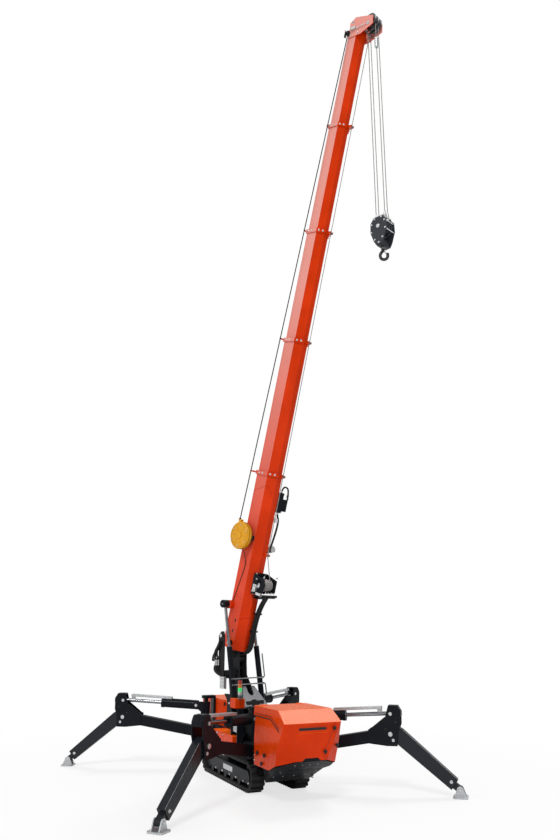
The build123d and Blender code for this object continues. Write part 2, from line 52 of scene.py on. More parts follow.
class Wire:
    """A socket in a node tree. Sums and products of wires and numbers add their Math nodes."""

    def __init__(self, tree, socket=None):
        self.tree = tree
        self.socket = socket

    def node(self, kind, settings=(), inputs=(), output=0):
        """Any other node: its type, settings, the values or wires of its sockets, and the output taken."""
        made = self.tree.nodes.new(kind)
        for name, value in dict(settings).items():
            if name == "stops":
                while len(made.color_ramp.elements) < len(value):
                    made.color_ramp.elements.new(0.5)
                for element, (place, colour) in zip(made.color_ramp.elements, value):
                    element.position = place
                    element.color = colour
            else:
                setattr(made, name, value)
        for name, value in dict(inputs).items():
            if isinstance(value, Wire):
                self.tree.links.new(value.socket, made.inputs[name])
            else:
                made.inputs[name].default_value = value
        return Wire(self.tree, made.outputs[output])

    def math(self, operation, left, right):
        return self.node("ShaderNodeMath", {"operation": operation}, {0: left, 1: right})

    def __add__(self, other):
        return self.math("ADD", self, other)

    def __mul__(self, other):
        return self.math("MULTIPLY", self, other)

    __radd__ = __add__
    __rmul__ = __mul__

    def between(self, low, high):
        """0 up to low, 1 from high, and a straight rise between them; falls where high is the lower."""
        return self.node("ShaderNodeMapRange", {}, {"Value": self, "From Min": low, "From Max": high})

    def tint(self, below, above):
        """Colour that goes from one to another as this value goes from 0 to 1."""
        return self.node("ShaderNodeMix", {"data_type": "RGBA"}, {0: self, 6: below, 7: above}, 2)

    def feed(self, socket):
        """Joins this wire to a socket of the finish's shader."""
        self.tree.links.new(self.socket, self.tree.nodes["Principled BSDF"].inputs[socket])


def new_finish(name, constants):
    """A finish whose even values sit on the shader's own sockets; gives it and a wire to build from."""
    finish = bpy.data.materials.new(name)
    finish.use_nodes = True
    shader = finish.node_tree.nodes["Principled BSDF"]
    for socket, value in constants.items():
        shader.inputs[socket].default_value = value
    return finish, Wire(finish.node_tree)


floor_radius = 400
floor_drop = 0.002
floor_mesh = bpy.data.meshes.new("floor")
floor_sheet = bmesh.new()
bmesh.ops.create_circle(floor_sheet, cap_ends=True, segments=96, radius=floor_radius)
floor_sheet.to_mesh(floor_mesh)
floor_sheet.free()
floor = bpy.data.objects.new("floor", floor_mesh)
floor.location = (0, 0, -floor_drop)
bpy.context.scene.collection.objects.link(floor)
floor_finish, wire = new_finish("pale_floor", {"Base Color": (0.88, 0.88, 0.88, 1), "Roughness": 0.7})
place = wire.node("ShaderNodeTexCoord", output="Object")
distance = wire.node("ShaderNodeVectorMath", {"operation": "LENGTH"}, {0: place}, "Value")
seen = wire.node("ShaderNodeLightPath", output="Is Camera Ray")
glow = wire.node("ShaderNodeEmission", {}, {"Color": (1, 1, 1, 1), "Strength": 1.0})
shader_wire = Wire(wire.tree, wire.tree.nodes["Principled BSDF"].outputs[0])
share = seen * (0.72 + 0.28 * distance.between(3.0, 7.0))
floor_mix = wire.node("ShaderNodeMixShader", {}, {0: share, 1: shader_wire, 2: glow})
wire.tree.links.new(floor_mix.socket, wire.tree.nodes["Material Output"].inputs["Surface"])
floor_mesh.materials.append(floor_finish)

world = bpy.data.worlds.new("studio")
bpy.context.scene.world = world
world.use_nodes = True
wire = Wire(world.node_tree)
seen = wire.node("ShaderNodeLightPath", output="Is Camera Ray")
sky = world.node_tree.nodes["Background"]
sky.inputs["Color"].default_value = (1, 1, 1, 1)
world.node_tree.links.new((0.45 + 0.55 * seen).socket, sky.inputs["Strength"])

lamps = [("key", (0.6, -0.45, 0.85), 1.3, 12),
         ("fill", (-0.1, -0.9, 0.35), 0.5, 50),
         ("top", (-0.31, 0.40, 0.82), 1.0, 18)]
for name, source, strength, spread in lamps:
    lamp = bpy.data.lights.new(name, "SUN")
    lamp.energy = strength
    lamp.angle = math.radians(spread)
    light = bpy.data.objects.new(name, lamp)
    light.rotation_euler = Vector(source).to_track_quat("Z", "Y").to_euler()
    bpy.context.scene.collection.objects.link(light)

camera_aim = Vector((-0.8718, 0.3957, 0.2885))
camera = bpy.data.objects.new("camera", bpy.data.cameras.new("camera"))
camera.location = (9.711, -4.054, 1.914)
camera.rotation_euler = camera_aim.to_track_quat("-Z", "Y").to_euler()
camera.data.lens = 30.252
camera.data.clip_end = 1000
bpy.context.scene.collection.objects.link(camera)
bpy.context.scene.camera = camera
bpy.context.scene.view_settings.view_transform = "Standard"

# Rubber tracks
# One endless moulded rubber belt on each side, with a tread bar at every pitch.
# The rubber is matt and grey with dust where it meets the ground.


def surface_place(wire):
    """Place on a piece in the machine's own frame, in metres."""
    return wire.node("ShaderNodeTexCoord", output="Object")


def grain(wire, place, scale, detail=3.0):
    """Cloudy value between 0 and 1."""
    return wire.node("ShaderNodeTexNoise", {}, {"Vector": place, "Scale": scale, "Detail": detail})


def relief(wire, height, depth, normal=None):
    """Small bumps of a given depth in metres, over the shape's own normal or another."""
    inputs = {"Height": height, "Distance": depth}
    if normal:
        inputs["Normal"] = normal
    wire.node("ShaderNodeBump", {}, inputs).feed("Normal")


def dress(finish, *nodes):
    """Gives CAD nodes their finish."""
    for node in nodes:
        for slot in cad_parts[node].material_slots:
            slot.material = finish


tread_rubber, wire = new_finish("tread_rubber", {"Specular IOR Level": 0.3})
place = surface_place(wire)
height = wire.node("ShaderNodeSeparateXYZ", {}, {0: place}, "Z")
dust = grain(wire, place, 9) * height.between(0.42, 0.0)
dust.between(0.15, 0.6).tint((0.011, 0.011, 0.012, 1), (0.026, 0.025, 0.024, 1)).feed("Base Color")
(0.62 + 0.3 * grain(wire, place, 40)).feed("Roughness")
relief(wire, grain(wire, place, 420, 5), 0.0012)
dress(tread_rubber, "track_left", "track_right")

# Chassis frame and track frames
# Welded steel box beam with cross arms, sprayed in a blue-black enamel that has rubbed thin on the edges.
# A pressed side plate, held by zinc bolts, closes each track frame and carries a blank identity plate.

machine = Matrix.Translation((-0.150, 0, 0))


def enamel(name, colour, worn_or_lit_edge, gloss, peel, shine, coat):
    """Sprayed enamel: drifting tone, fine peel, worn edges and road dust low down; on the dark enamels the worn
    edges are lighter and also serve as painted edge highlights.
    """
    finish, wire = new_finish(name, {"Coat Weight": coat, "Coat Roughness": 0.1, "Specular IOR Level": shine})
    place = surface_place(wire)
    drift = grain(wire, place, 2.3)
    cloud = grain(wire, place, 26, 6)
    rounded = wire.node("ShaderNodeBevel", {"samples": 4}, {"Radius": 0.004})
    flat = wire.node("ShaderNodeNewGeometry", output="Normal")
    along = wire.node("ShaderNodeVectorMath", {"operation": "DOT_PRODUCT"}, {0: rounded, 1: flat}, "Value")
    edge = along.between(0.995, 0.9)
    # Chips on the edges: real wear, and where the edge colour is lighter than the paint, on the dark enamels,
    # also painted edge highlights.
    edge_chip_and_highlight = edge * cloud.between(0.54, 0.68)
    height = wire.node("ShaderNodeSeparateXYZ", {}, {0: place}, "Z")
    dust = cloud.between(0.35, 0.75) * height.between(0.75, 0.05) * 0.03
    pale = [channel * 1.12 + 0.002 for channel in colour] + [1]
    deep = [channel * 0.88 for channel in colour] + [1]
    tone = drift.between(0.3, 0.7).tint(deep, pale)
    dusty = dust.tint(tone, (0.13, 0.115, 0.10, 1))
    edge_chip_and_highlight.tint(dusty, worn_or_lit_edge).feed("Base Color")
    (gloss + 0.16 * cloud.between(0.4, 0.8) + 0.4 * dust + 0.2 * edge_chip_and_highlight).feed("Roughness")
    relief(wire, grain(wire, place, 190, 2), peel, rounded)
    return finish


def bright_metal(name, dark, light, rough, spread):
    """Bare or plated metal: blotched tone, brushed gloss and a faint tooth."""
    finish, wire = new_finish(name, {"Metallic": 0.92})
    place = surface_place(wire)
    spangle = wire.node("ShaderNodeTexVoronoi", {}, {"Vector": place, "Scale": 120})
    blotch = 0.5 * grain(wire, place, 45, 4) + 0.5 * spangle
    blotch.between(0.2, 0.75).tint(dark, light).feed("Base Color")
    (rough + spread * grain(wire, place, 70, 5)).feed("Roughness")
    relief(wire, grain(wire, place, 600, 2), 0.0002)
    return finish


def facing(point, normal, along=(0, 0, 1)):
    """Place with its Z axis along a surface's normal and its Y axis towards a direction on it."""
    z = Vector(normal).normalized()
    x = Vector(along).cross(z).normalized()
    return Matrix.Translation(point) @ Matrix((x, z.cross(x), z)).transposed().to_4x4()


def beside(place, x, y, z, side, along=(0, 0, 1)):
    """Place on a face that looks to the left, side 1, or to the right, side -1."""
    return place @ facing((x, side * y, z), (0, side, 0), along)


def turned(mesh, profile, place, sides=20, lobes=0, swell=0.0):
    """Adds a turned piece: (radius, height) steps about the place's Z axis, waved into lobes if asked."""
    rings = []
    for radius, height in profile:
        ring = []
        for step in range(sides if radius else 1):
            angle = 2 * math.pi * step / sides
            reach = radius * (1 + swell * math.cos(lobes * angle))
            corner = Vector((reach * math.cos(angle), reach * math.sin(angle), height))
            ring.append(mesh.verts.new(place @ corner))
        rings.append(ring)
    for low, high in zip(rings, rings[1:]):
        for step in range(sides):
            corners = (low[step % len(low)], low[(step + 1) % sides % len(low)],
                       high[(step + 1) % sides % len(high)], high[step % len(high)])
            corners = list(dict.fromkeys(corners))
            if len(corners) > 2:
                mesh.faces.new(corners)


def plate(mesh, outline, low, high, place):
    """Adds a plate: an outline of (x, y) points on the place's plane, between two heights."""
    floors = [[mesh.verts.new(place @ Vector((x, y, height))) for x, y in outline] for height in (low, high)]
    mesh.faces.new(floors[0])
    mesh.faces.new(floors[1])
    for step in range(len(outline)):
        mesh.faces.new((floors[0][step - 1], floors[0][step], floors[1][step], floors[1][step - 1]))


def bar(mesh, x, y, z, place):
    """Adds a square bar between three pairs of limits."""
    plate(mesh, [(x[0], y[0]), (x[1], y[0]), (x[1], y[1]), (x[0], y[1])], z[0], z[1], place)


def rod(mesh, radius, low, high, place, sides=20):
    """Adds a plain round bar along the place's Z axis."""
    turned(mesh, [(0, low), (radius, low), (radius, high), (0, high)], place, sides)


def cap(mesh, place, radius, rim, crown, height, sides=20):
    """Adds a round cap: a straight rim, then a chamfer up to its crown."""
    turned(mesh, [(0, 0), (radius, 0), (radius, rim), (crown, height), (0, height)], place, sides)


def bolt(mesh, place, size):
    """Adds a hexagon bolt on its washer; the size is half the width of its head."""
    washer = [(0, 0), (1.6, 0), (1.6, 0.25), (1.5, 0.3), (0, 0.3)]
    head = [(0, 0.2), (1.1, 0.2), (1.1, 1.1), (0.9, 1.25), (0, 1.25)]
    for steps, sides in ((washer, 20), (head, 6)):
        turned(mesh, [(radius * size, height * size) for radius, height in steps], place, sides)


def piece(name, body, finish, mesh, soften=0.0):
    """Makes a built mesh one piece of the crane, with its finish, on the body it rides if one is named."""
    bmesh.ops.recalc_face_normals(mesh, faces=mesh.faces)
    data = bpy.data.meshes.new(name)
    mesh.to_mesh(data)
    mesh.free()
    data.shade_smooth()
    data.set_sharp_from_angle(angle=math.radians(35))
    data.materials.append(finish)
    made = bpy.data.objects.new(name, data)
    bpy.context.scene.collection.objects.link(made)
    if soften:
        rounding = made.modifiers.new("rounding", "BEVEL")
        rounding.width = soften
        rounding.segments = 2
        rounding.limit_method = "ANGLE"
    if body:
        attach(made, body)
    return made


black_enamel = enamel("black_enamel", (0.0058, 0.0074, 0.0105), (0.035, 0.038, 0.042, 1),
                      gloss=0.3, peel=0.0005, shine=0.08, coat=0.03)
zinc = bright_metal("zinc", (0.42, 0.43, 0.44, 1), (0.78, 0.79, 0.79, 1), rough=0.28, spread=0.2)
dress(black_enamel, "chassis_frame", "track_frame_left", "track_frame_right")

side_plate_y = 0.400
side_plate_x = (-0.480, 0.885)
side_plate_z = (0.105, 0.255)
side_plate_corner = 0.055
side_plate_fold = 0.016
(x0, x1), (z0, z1), cut = side_plate_x, side_plate_z, side_plate_corner
side_outline = [(x0 + cut, z0), (x1 - cut, z0), (x1, z0 + cut), (x1, z1 - cut),
                (x1 - cut, z1), (x0 + cut, z1), (x0, z1 - cut), (x0, z0 + cut)]
plate_bolt_z = 0.122
plate_bolts_x = [-0.339, -0.082, 0.197, 0.435, 0.697, 0.869]
plate_bolt_size = 0.0085
pad_steps = [(0, -0.004), (0.020, -0.004), (0.020, 0.002), (0.018, 0.003), (0, 0.003)]
identity_plate = ((-0.054, 0.291), (0.157, 0.220))
rivet_inset = 0.012
rivet_steps = [(0, 0), (0.005, 0), (0.004, 0.002), (0, 0.003)]
for side, label in ((1, "left"), (-1, "right")):
    surface = beside(machine, 0, side_plate_y, 0, side)
    cover = bmesh.new()
    plate(cover, [(-side * x, z) for x, z in side_outline], -side_plate_fold, 0, surface)
    piece(f"track_side_plate_{label}", "chassis", black_enamel, cover, 0.004)
    bolts = bmesh.new()
    pads = bmesh.new()
    for x in plate_bolts_x:
        spot = surface @ Matrix.Translation((-side * x, plate_bolt_z, 0))
        bolt(bolts, spot @ Matrix.Translation((0, 0, pad_steps[-1][1])), plate_bolt_size)
        turned(pads, pad_steps, spot, 28)
    piece(f"track_plate_bolts_{label}", "chassis", zinc, bolts)
    piece(f"track_plate_pads_{label}", "chassis", black_enamel, pads)
    sign = bmesh.new()
    (x0, x1), (z0, z1) = identity_plate
    bar(sign, (-side * x0, -side * x1), (z0, z1), (-0.001, 0.002), surface)
    for x in (x0 + rivet_inset, x1 - rivet_inset):
        for z in (z0 + rivet_inset, z1 - rivet_inset):
            turned(sign, rivet_steps, surface @ Matrix.Translation((-side * x, z, 0.002)), 12)
    piece(f"identity_plate_{label}", "chassis", zinc, sign, 0.0008)

# Engine hood and its lid
# Folded steel panels in gloss orange enamel, with painted light: the faces that look up are painted paler; the
# lid swings on two hinges.
# Black rubber seals the lid's long seam, a thinner black line above it is painted shade along the lid's fold,
# and star knobs on studs hold the access panels.


def repaint(finish, mask, colour):
    """Gives a finish a second colour where a mask is 1."""
    first = finish.node_tree.nodes["Principled BSDF"].inputs["Base Color"].links[0].from_socket
    mask.tint(Wire(finish.node_tree, first), colour).feed("Base Color")


orange_enamel = enamel("orange_enamel", (0.660, 0.036, 0.0), (0.40, 0.07, 0.02, 1),
                       gloss=0.26, peel=0.0003, shine=0.05, coat=0.10)
# Painted light: faces that look up are painted a paler, brighter orange, as if lit from above.
wire = Wire(orange_enamel.node_tree)
surface_normal = wire.node("ShaderNodeTexCoord", output="Normal")
lean = wire.node("ShaderNodeSeparateXYZ", {}, {0: surface_normal}, "Z")
repaint(orange_enamel, lean.between(-0.1, 0.9) * 0.8, (0.92, 0.150, 0.012, 1))

moulded_black, wire = new_finish("moulded_black", {"Specular IOR Level": 0.35})
place = surface_place(wire)
cloud = grain(wire, place, 30).between(0.3, 0.7)
cloud.tint((0.007, 0.007, 0.008, 1), (0.016, 0.016, 0.017, 1)).feed("Base Color")
(0.42 + 0.2 * grain(wire, place, 90)).feed("Roughness")
relief(wire, grain(wire, place, 900, 3), 0.0005)


def tube(name, body, finish, points, radius, place=machine):
    """A round run through its guide points: a hose, pipe, seal or cable."""
    path = bpy.data.curves.new(name, "CURVE")
    path.dimensions = "3D"
    path.bevel_depth = radius
    path.bevel_resolution = 3
    path.use_fill_caps = True
    spline = path.splines.new("NURBS")
    spline.points.add(len(points) - 1)
    for guide, point in zip(spline.points, points):
        guide.co = (*(place @ Vector(point)), 1)
    spline.order_u = 3
    spline.use_endpoint_u = True
    spline.resolution_u = 5
    path.materials.append(finish)
    made = bpy.data.objects.new(name, path)
    bpy.context.scene.collection.objects.link(made)
    if body:
        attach(made, body)
    return made


hood_top_z, hood_fold_z, hood_bottom_z = 1.032, 0.650, 0.360
hood_top_y, hood_fold_y, hood_bottom_y = 0.361, 0.400, 0.394
hood_chin = Vector((1.818, 0, 0.488))
hood_nose = Vector((1.878, 0, 0.900))
front_normal = Vector((hood_nose.z - hood_chin.z, 0, hood_chin.x - hood_nose.x)).normalized()


def hood_side(x, z, side):
    """Point on the hood's side at a place along it and a height."""
    if z > hood_fold_z:
        y = hood_fold_y + (z - hood_fold_z) / (hood_top_z - hood_fold_z) * (hood_top_y - hood_fold_y)
    else:
        y = hood_fold_y + (hood_fold_z - z) / (hood_fold_z - hood_bottom_z) * (hood_bottom_y - hood_fold_y)
    return (x, side * y, z)


def hood_front(y, z):
    """Point on the hood's sloping front face."""
    share = (z - hood_chin.z) / (hood_nose.z - hood_chin.z)
    return Vector((hood_chin.x + share * (hood_nose.x - hood_chin.x), y, z))


def bisect(mesh, point, normal, parts=None, clear=False):
    """Cuts a mesh, or some of its parts, along a plane, and clears what lies outside it if asked."""
    parts = parts or mesh.verts[:] + mesh.edges[:] + mesh.faces[:]
    return bmesh.ops.bisect_plane(mesh, geom=parts, dist=1e-6, plane_co=point, plane_no=normal,
                                  clear_outer=clear)


def cut_block(*planes):
    """Block left when each plane, a point and its outward normal, has cut away what lies outside it."""
    block = bmesh.new()
    bmesh.ops.create_cube(block, size=6)
    for point, normal in planes:
        cut = bisect(block, point, normal, clear=True)
        rim = [part for part in cut["geom_cut"] if isinstance(part, bmesh.types.BMEdge)]
        if rim:
            bmesh.ops.edgeloop_fill(block, edges=rim)
    return block


hood_back_x = 1.000
hood_roof_x = 1.661
hood_chamfer = 0.030
hood_wall = 0.010
fold_radius = 0.016
lid_overhang = 0.055
chin_corner = Vector((hood_chin.x, 0.203, hood_chin.z))
nose_corner = Vector((hood_nose.x, hood_top_y, hood_nose.z))
heel_corner = Vector((1.660, hood_bottom_y, 0.432))
sill = Vector((1.507, 0, 0.373))
corner_normal = (chin_corner - nose_corner).cross(heel_corner - nose_corner).normalized()
corner_normal *= math.copysign(1, corner_normal.x)
side_planes = []
for side in (1, -1):
    mirror = Vector((1, side, 1))
    fold = Vector((0, hood_fold_y, hood_fold_z)) * mirror
    side_planes += [
        (fold, (0, side * (hood_top_z - hood_fold_z), hood_fold_y - hood_top_y)),
        (fold, (0, side * (hood_fold_z - hood_bottom_z), hood_bottom_y - hood_fold_y)),
        (nose_corner * mirror, corner_normal * mirror),
        (fold + Vector((hood_back_x + hood_chamfer, 0, 0)), (-1, side, 0)),
    ]
skin = cut_block(
    ((hood_back_x, 0, 0), (-1, 0, 0)),
    ((0, 0, hood_top_z), (0, 0, 1)),
    ((0, 0, hood_bottom_z), (0, 0, -1)),
    (hood_nose, (hood_top_z - hood_nose.z, 0, hood_nose.x - hood_roof_x)),
    (hood_nose, front_normal),
    (hood_chin, (hood_chin.z - sill.z, 0, sill.x - hood_chin.x)),
    *side_planes)

# The skin is cut along the lid's seam and round the grip's recess, which is then pressed in.
seam_z = 0.915
seam_bend = Vector((1.480, 0, seam_z))
seam_corner = Vector((1.790, 0, 0.785))
seam_foot = Vector((1.656, 0, 0.432))
slope_up = Vector((seam_z - seam_corner.z, 0, seam_corner.x - seam_bend.x))
heel_out = Vector((seam_corner.z - seam_foot.z, 0, seam_foot.x - seam_corner.x))
for point, normal in ((seam_bend, (0, 0, 1)), (seam_bend, slope_up), (seam_corner, heel_out)):
    bisect(skin, point, normal)
recess_y = 0.190
recess_z = (0.790, 0.868)
recess_depths = (0.0045, 0.009)


def front_faces():
    """The skin's faces on the sloping front."""
    return [face for face in skin.faces if face.normal.dot(front_normal) > 0.999]


for point, normal in (((0, recess_y, 0), (0, 1, 0)), ((0, -recess_y, 0), (0, 1, 0)),
                      ((0, 0, recess_z[0]), (0, 0, 1)), ((0, 0, recess_z[1]), (0, 0, 1))):
    parts = set()
    for face in front_faces():
        parts.update([face], face.verts, face.edges)
    bisect(skin, point, normal, list(parts))
pressed = []
for face in front_faces():
    middle = face.calc_center_median()
    if abs(middle.y) < recess_y and recess_z[0] < middle.z < recess_z[1]:
        pressed.append(face)
sunk = bmesh.ops.extrude_face_region(skin, geom=pressed)
bmesh.ops.delete(skin, geom=pressed, context="FACES")
for corner in sunk["geom"]:
    if isinstance(corner, bmesh.types.BMVert):
        corner.co -= recess_depths[corner.co.z > sum(recess_z) / 2] * front_normal
skin.normal_update()


def panel(name, body, node, below_seam):
    """Makes the skin below or above the lid's seam into one folded panel that stands for a CAD node."""
    sheet = skin.copy()
    spare = []
    for face in sheet.faces:
        middle = face.calc_center_median()
        behind = slope_up.dot(middle - seam_corner) < 0 and heel_out.dot(middle - seam_corner) < 0
        if (middle.z < seam_z and behind) != below_seam or face.normal.z < -0.8:
            spare.append(face)
    bmesh.ops.delete(sheet, geom=spare, context="FACES")
    if not below_seam:
        for corner in sheet.verts:
            if corner.co.x < hood_back_x + hood_chamfer + 0.004:
                corner.co.x -= lid_overhang
    sheet.transform(machine)
    made = piece(name, body, orange_enamel, sheet)
    folds = made.modifiers.new("folds", "BEVEL")
    folds.width = fold_radius
    folds.segments = 4
    folds.limit_method = "ANGLE"
    wall = made.modifiers.new("sheet", "SOLIDIFY")
    wall.thickness = hood_wall
    wall.offset = -1
    made.modifiers.new("flat_faces", "WEIGHTED_NORMAL")
    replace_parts(made, node)


panel("hood_body_panels", "chassis", "hood_body", True)
panel("hood_lid_panels", "hood_lid", "hood_lid", False)
skin.free()

hinge_x, hinge_y, hinge_z, hinge_radius = 0.984, 0.250, 1.0285, 0.013
leaf_half_width, hinge_ear_half_width, hinge_ear_offset = 0.025, 0.008, 0.035
leaves = bmesh.new()
ears = bmesh.new()
for side in (1, -1):
    y = side * hinge_y
    low, high = y - leaf_half_width, y + leaf_half_width
    hinge_axis = machine @ facing((hinge_x, y, hinge_z), (0, 1, 0))
    rod(leaves, hinge_radius, -leaf_half_width, leaf_half_width, hinge_axis, 24)
    bar(leaves, (hinge_x, 1.040), (low, high), (1.020, 1.0355), machine)
    for ear_y in (y + hinge_ear_offset, y - hinge_ear_offset):
        low, high = ear_y - hinge_ear_half_width, ear_y + hinge_ear_half_width
        rod(ears, hinge_radius, low, high, machine @ facing((hinge_x, 0, hinge_z), (0, 1, 0)), 24)
        bar(ears, (hinge_x - hinge_radius, hood_back_x + 0.006), (low, high), (0.880, hinge_z), machine)
piece("lid_hinge_leaves", "hood_lid", orange_enamel, leaves, 0.002)
piece("lid_hinge_ears", "chassis", orange_enamel, ears, 0.002)


def star_knob(mesh, place):
    """Adds a four-lobed knob on its stud and washer."""
    stud = [(0, 0), (0.013, 0), (0.013, 0.006), (0.007, 0.008), (0.007, 0.014), (0, 0.014)]
    grip = [(0, 0.012), (0.018, 0.012), (0.021, 0.015), (0.021, 0.026), (0.017, 0.030), (0.006, 0.030),
            (0.005, 0.027), (0, 0.027)]
    turned(mesh, stud, place)
    turned(mesh, grip, place, 40, 4, 0.22)


seal_radius, painted_shade_line_radius, seam_radius = 0.0065, 0.0034, 0.0016
painted_shade_line_rise = 0.030
lid_seal = [(0.978, seam_z), (1.260, seam_z), (1.440, seam_z), (1.480, seam_z), (1.520, 0.899), (1.600, 0.865),
            (1.740, 0.806)]
# The thin black line 30 mm above the seal is painted shade along the lid's fold.
painted_shade_line = [(x, z + painted_shade_line_rise) for x, z in lid_seal]
side_panel = [(1.474, 0.517), (1.462, 0.450), (1.452, 0.378)]
side_runs = [("lid_seal", "hood_lid", lid_seal, seal_radius),
             ("lid_painted_shade_line", "hood_lid", painted_shade_line, painted_shade_line_radius),
             ("side_panel_seam", "chassis", side_panel, seam_radius)]
side_knobs = [(1.164, 0.511), (1.380, 0.511), (1.291, 0.408)]
side_bolts = [(1.034, 0.471), (1.034, 0.410)]
for side, label in ((1, "left"), (-1, "right")):
    for name, body, route, radius in side_runs:
        tube(f"{name}_{label}", body, moulded_black, [hood_side(x, z, side) for x, z in route], radius)
    outward = (0, side, -0.02)
    knobs = bmesh.new()
    for x, z in side_knobs:
        star_knob(knobs, machine @ facing(hood_side(x, z, side), outward))
    piece(f"side_panel_knobs_{label}", "chassis", moulded_black, knobs)
    bolts = bmesh.new()
    for x, z in side_bolts:
        bolt(bolts, machine @ facing(hood_side(x, z, side), outward), 0.006)
    piece(f"hood_bolts_{label}", "chassis", zinc, bolts)

front_panel = [(0.296, 0.893), (0.240, 0.750), (0.185, 0.610), (0.155, 0.530), (0.150, 0.515), (0.166, 0.512),
               (0.203, 0.503)]
front_knobs = [(0.276, 0.837), (0.168, 0.583)]
facet_knob = (1.783, 0.344, 0.638)
facet_normal = (0.7795, 0.5396, -0.3204)
tube("front_panel_seam", "hood_lid", moulded_black, [hood_front(y, z) for y, z in front_panel], seam_radius)
knobs = bmesh.new()
for y, z in front_knobs:
    star_knob(knobs, machine @ facing(hood_front(y, z), front_normal))
star_knob(knobs, machine @ facing(facet_knob, facet_normal))
piece("front_panel_knobs", "hood_lid", moulded_black, knobs)

# Grip slot in the lid's front
# A long slot in the pressed recess; its opening is a thin black plate, painted shade for the dark inside it.
slot_half_length, slot_half_height, slot_middle_z = 0.183, 0.0150, 0.833
slot_depth = 0.0070


def arc(x, y, radius, start, stop, steps):
    """Points along an arc about (x, y), between two angles in degrees."""
    angles = [math.radians(start + (stop - start) * step / steps) for step in range(steps + 1)]
    return [(x + radius * math.cos(angle), y + radius * math.sin(angle)) for angle in angles]


def long_hole(straight, radius, steps):
    """Outline of a slot with round ends, its length along X."""
    return arc(straight, 0, radius, 90, -90, steps) + arc(-straight, 0, radius, -90, -270, steps)


# Painted shade: the black plate stands for the dark inside of the slot.
slot = bmesh.new()
slot_place = machine @ facing(hood_front(0, slot_middle_z) - slot_depth * front_normal, front_normal)
plate(slot, long_hole(slot_half_length - slot_half_height, slot_half_height, 8), -0.002, 0.0012, slot_place)
piece("grip_slot", "hood_lid", moulded_black, slot)

# Belly pan, engine and its rails
# The pan under the hood is welded sheet in the black enamel, with small zinc bolts along its folds.
# Louvred vents are let into its sloping sides, and the engine above it is a painted casting.

cast_iron = bright_metal("cast_iron", (0.03, 0.03, 0.032, 1), (0.07, 0.07, 0.072, 1), rough=0.5, spread=0.25)
dress(black_enamel, "engine_rails")
dress(cast_iron, "engine_block")

belly_low = Vector((1.150, 0, 0.168))
belly_fold = Vector((1.500, 0, 0.342))
belly_lip = Vector((1.790, 0, 0.484))
belly_back = Vector((1.120, 0, 0))
tray_low_y, tray_high_y, ledge_y = 0.288, 0.317, 0.374
slope_normal = Vector((belly_fold.z - belly_low.z, 0, belly_low.x - belly_fold.x)).normalized()
bib_normal = Vector((0.134, 0, -0.290))
tray_sides = []
ledge_sides = []
for side in (1, -1):
    fold = (0, side * tray_high_y, belly_fold.z)
    tray_sides.append((fold, (0, side * (belly_fold.z - belly_low.z), tray_low_y - tray_high_y)))
    ledge_sides += [((0, side * ledge_y, 0), (0, side, 0)), (fold, (0, side * 0.028, -0.057)),
                    ((1.635, side * ledge_y, 0), (0.179, side * 0.155, 0))]
tray = cut_block((belly_back, (-1, 0, 0)), (belly_low, (0, 0, -1)), (belly_fold, (0, 0, 1)),
                 (belly_fold, slope_normal), *tray_sides)
ledge = cut_block((belly_back, (-1, 0, 0)), (belly_fold, (0, 0, -1)), (belly_fold, bib_normal),
                  (belly_lip, (1, 0, 0)), (belly_lip, (-0.115, 0, 0.311)), *ledge_sides)
pan = bmesh.new()
for part in (tray, ledge):
    data = bpy.data.meshes.new("belly_part")
    part.to_mesh(data)
    part.free()
    pan.from_mesh(data)
    bpy.data.meshes.remove(data)
chin_step = [(-0.123, 0.486), (0.123, 0.486), (0.083, 0.519), (-0.083, 0.519)]
chin_outline = [(y, z / front_normal.x) for y, z in chin_step]
plate(pan, chin_outline, -0.030, 0.0015, facing(hood_front(0, 0), front_normal))
pan.transform(machine)
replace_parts(piece("belly_pan", "chassis", black_enamel, pan, 0.004), "front_belly")

belly_bolt_size = 0.005
slope_bolts = [(y, 0.52) for y in (-0.270, -0.145, 0, 0.145, 0.270)] + [(-0.235, 0.88), (0.235, 0.88)]
bib_middle = belly_fold.lerp(Vector((belly_lip.x, 0, 0.476)), 0.62)
bolts = bmesh.new()
for y, share in slope_bolts:
    spot = belly_low.lerp(belly_fold, share) + Vector((0, y, 0))
    bolt(bolts, machine @ facing(spot, slope_normal), belly_bolt_size)
for y in (-0.150, -0.050, 0.050, 0.150):
    bolt(bolts, machine @ facing(bib_middle + Vector((0, y, 0)), bib_normal), belly_bolt_size)
piece("belly_bolts", "chassis", zinc, bolts)

vent_x = (1.150, 1.270)
vent_slats, slat_tilt = 7, math.radians(28)
for side, label in ((1, "left"), (-1, "right")):
    flank_low = Vector((0, side * tray_low_y, belly_low.z))
    flank_high = Vector((0, side * tray_high_y, belly_fold.z))
    flank_normal = (0, side * (belly_fold.z - belly_low.z), tray_low_y - tray_high_y)
    vent = bmesh.new()
    for step in range(vent_slats):
        spot = flank_low.lerp(flank_high, 0.2 + 0.6 * step / (vent_slats - 1))
        slat = machine @ facing(spot, flank_normal) @ Matrix.Rotation(slat_tilt, 4, "X")
        bar(vent, (-side * vent_x[0], -side * vent_x[1]), (-0.006, 0.006), (-0.001, 0.003), slat)
    piece(f"belly_vent_{label}", "chassis", moulded_black, vent, 0.0008)

# Covers beside and behind the turret
# Sheet-metal lockers in the orange enamel: a box over each track, a long cover at the rear and a low locker.
# Zinc bolts and latches close the boxes; black hinges and seams run along the rear cover.

dress(orange_enamel, "rear_cover", "side_boxes")

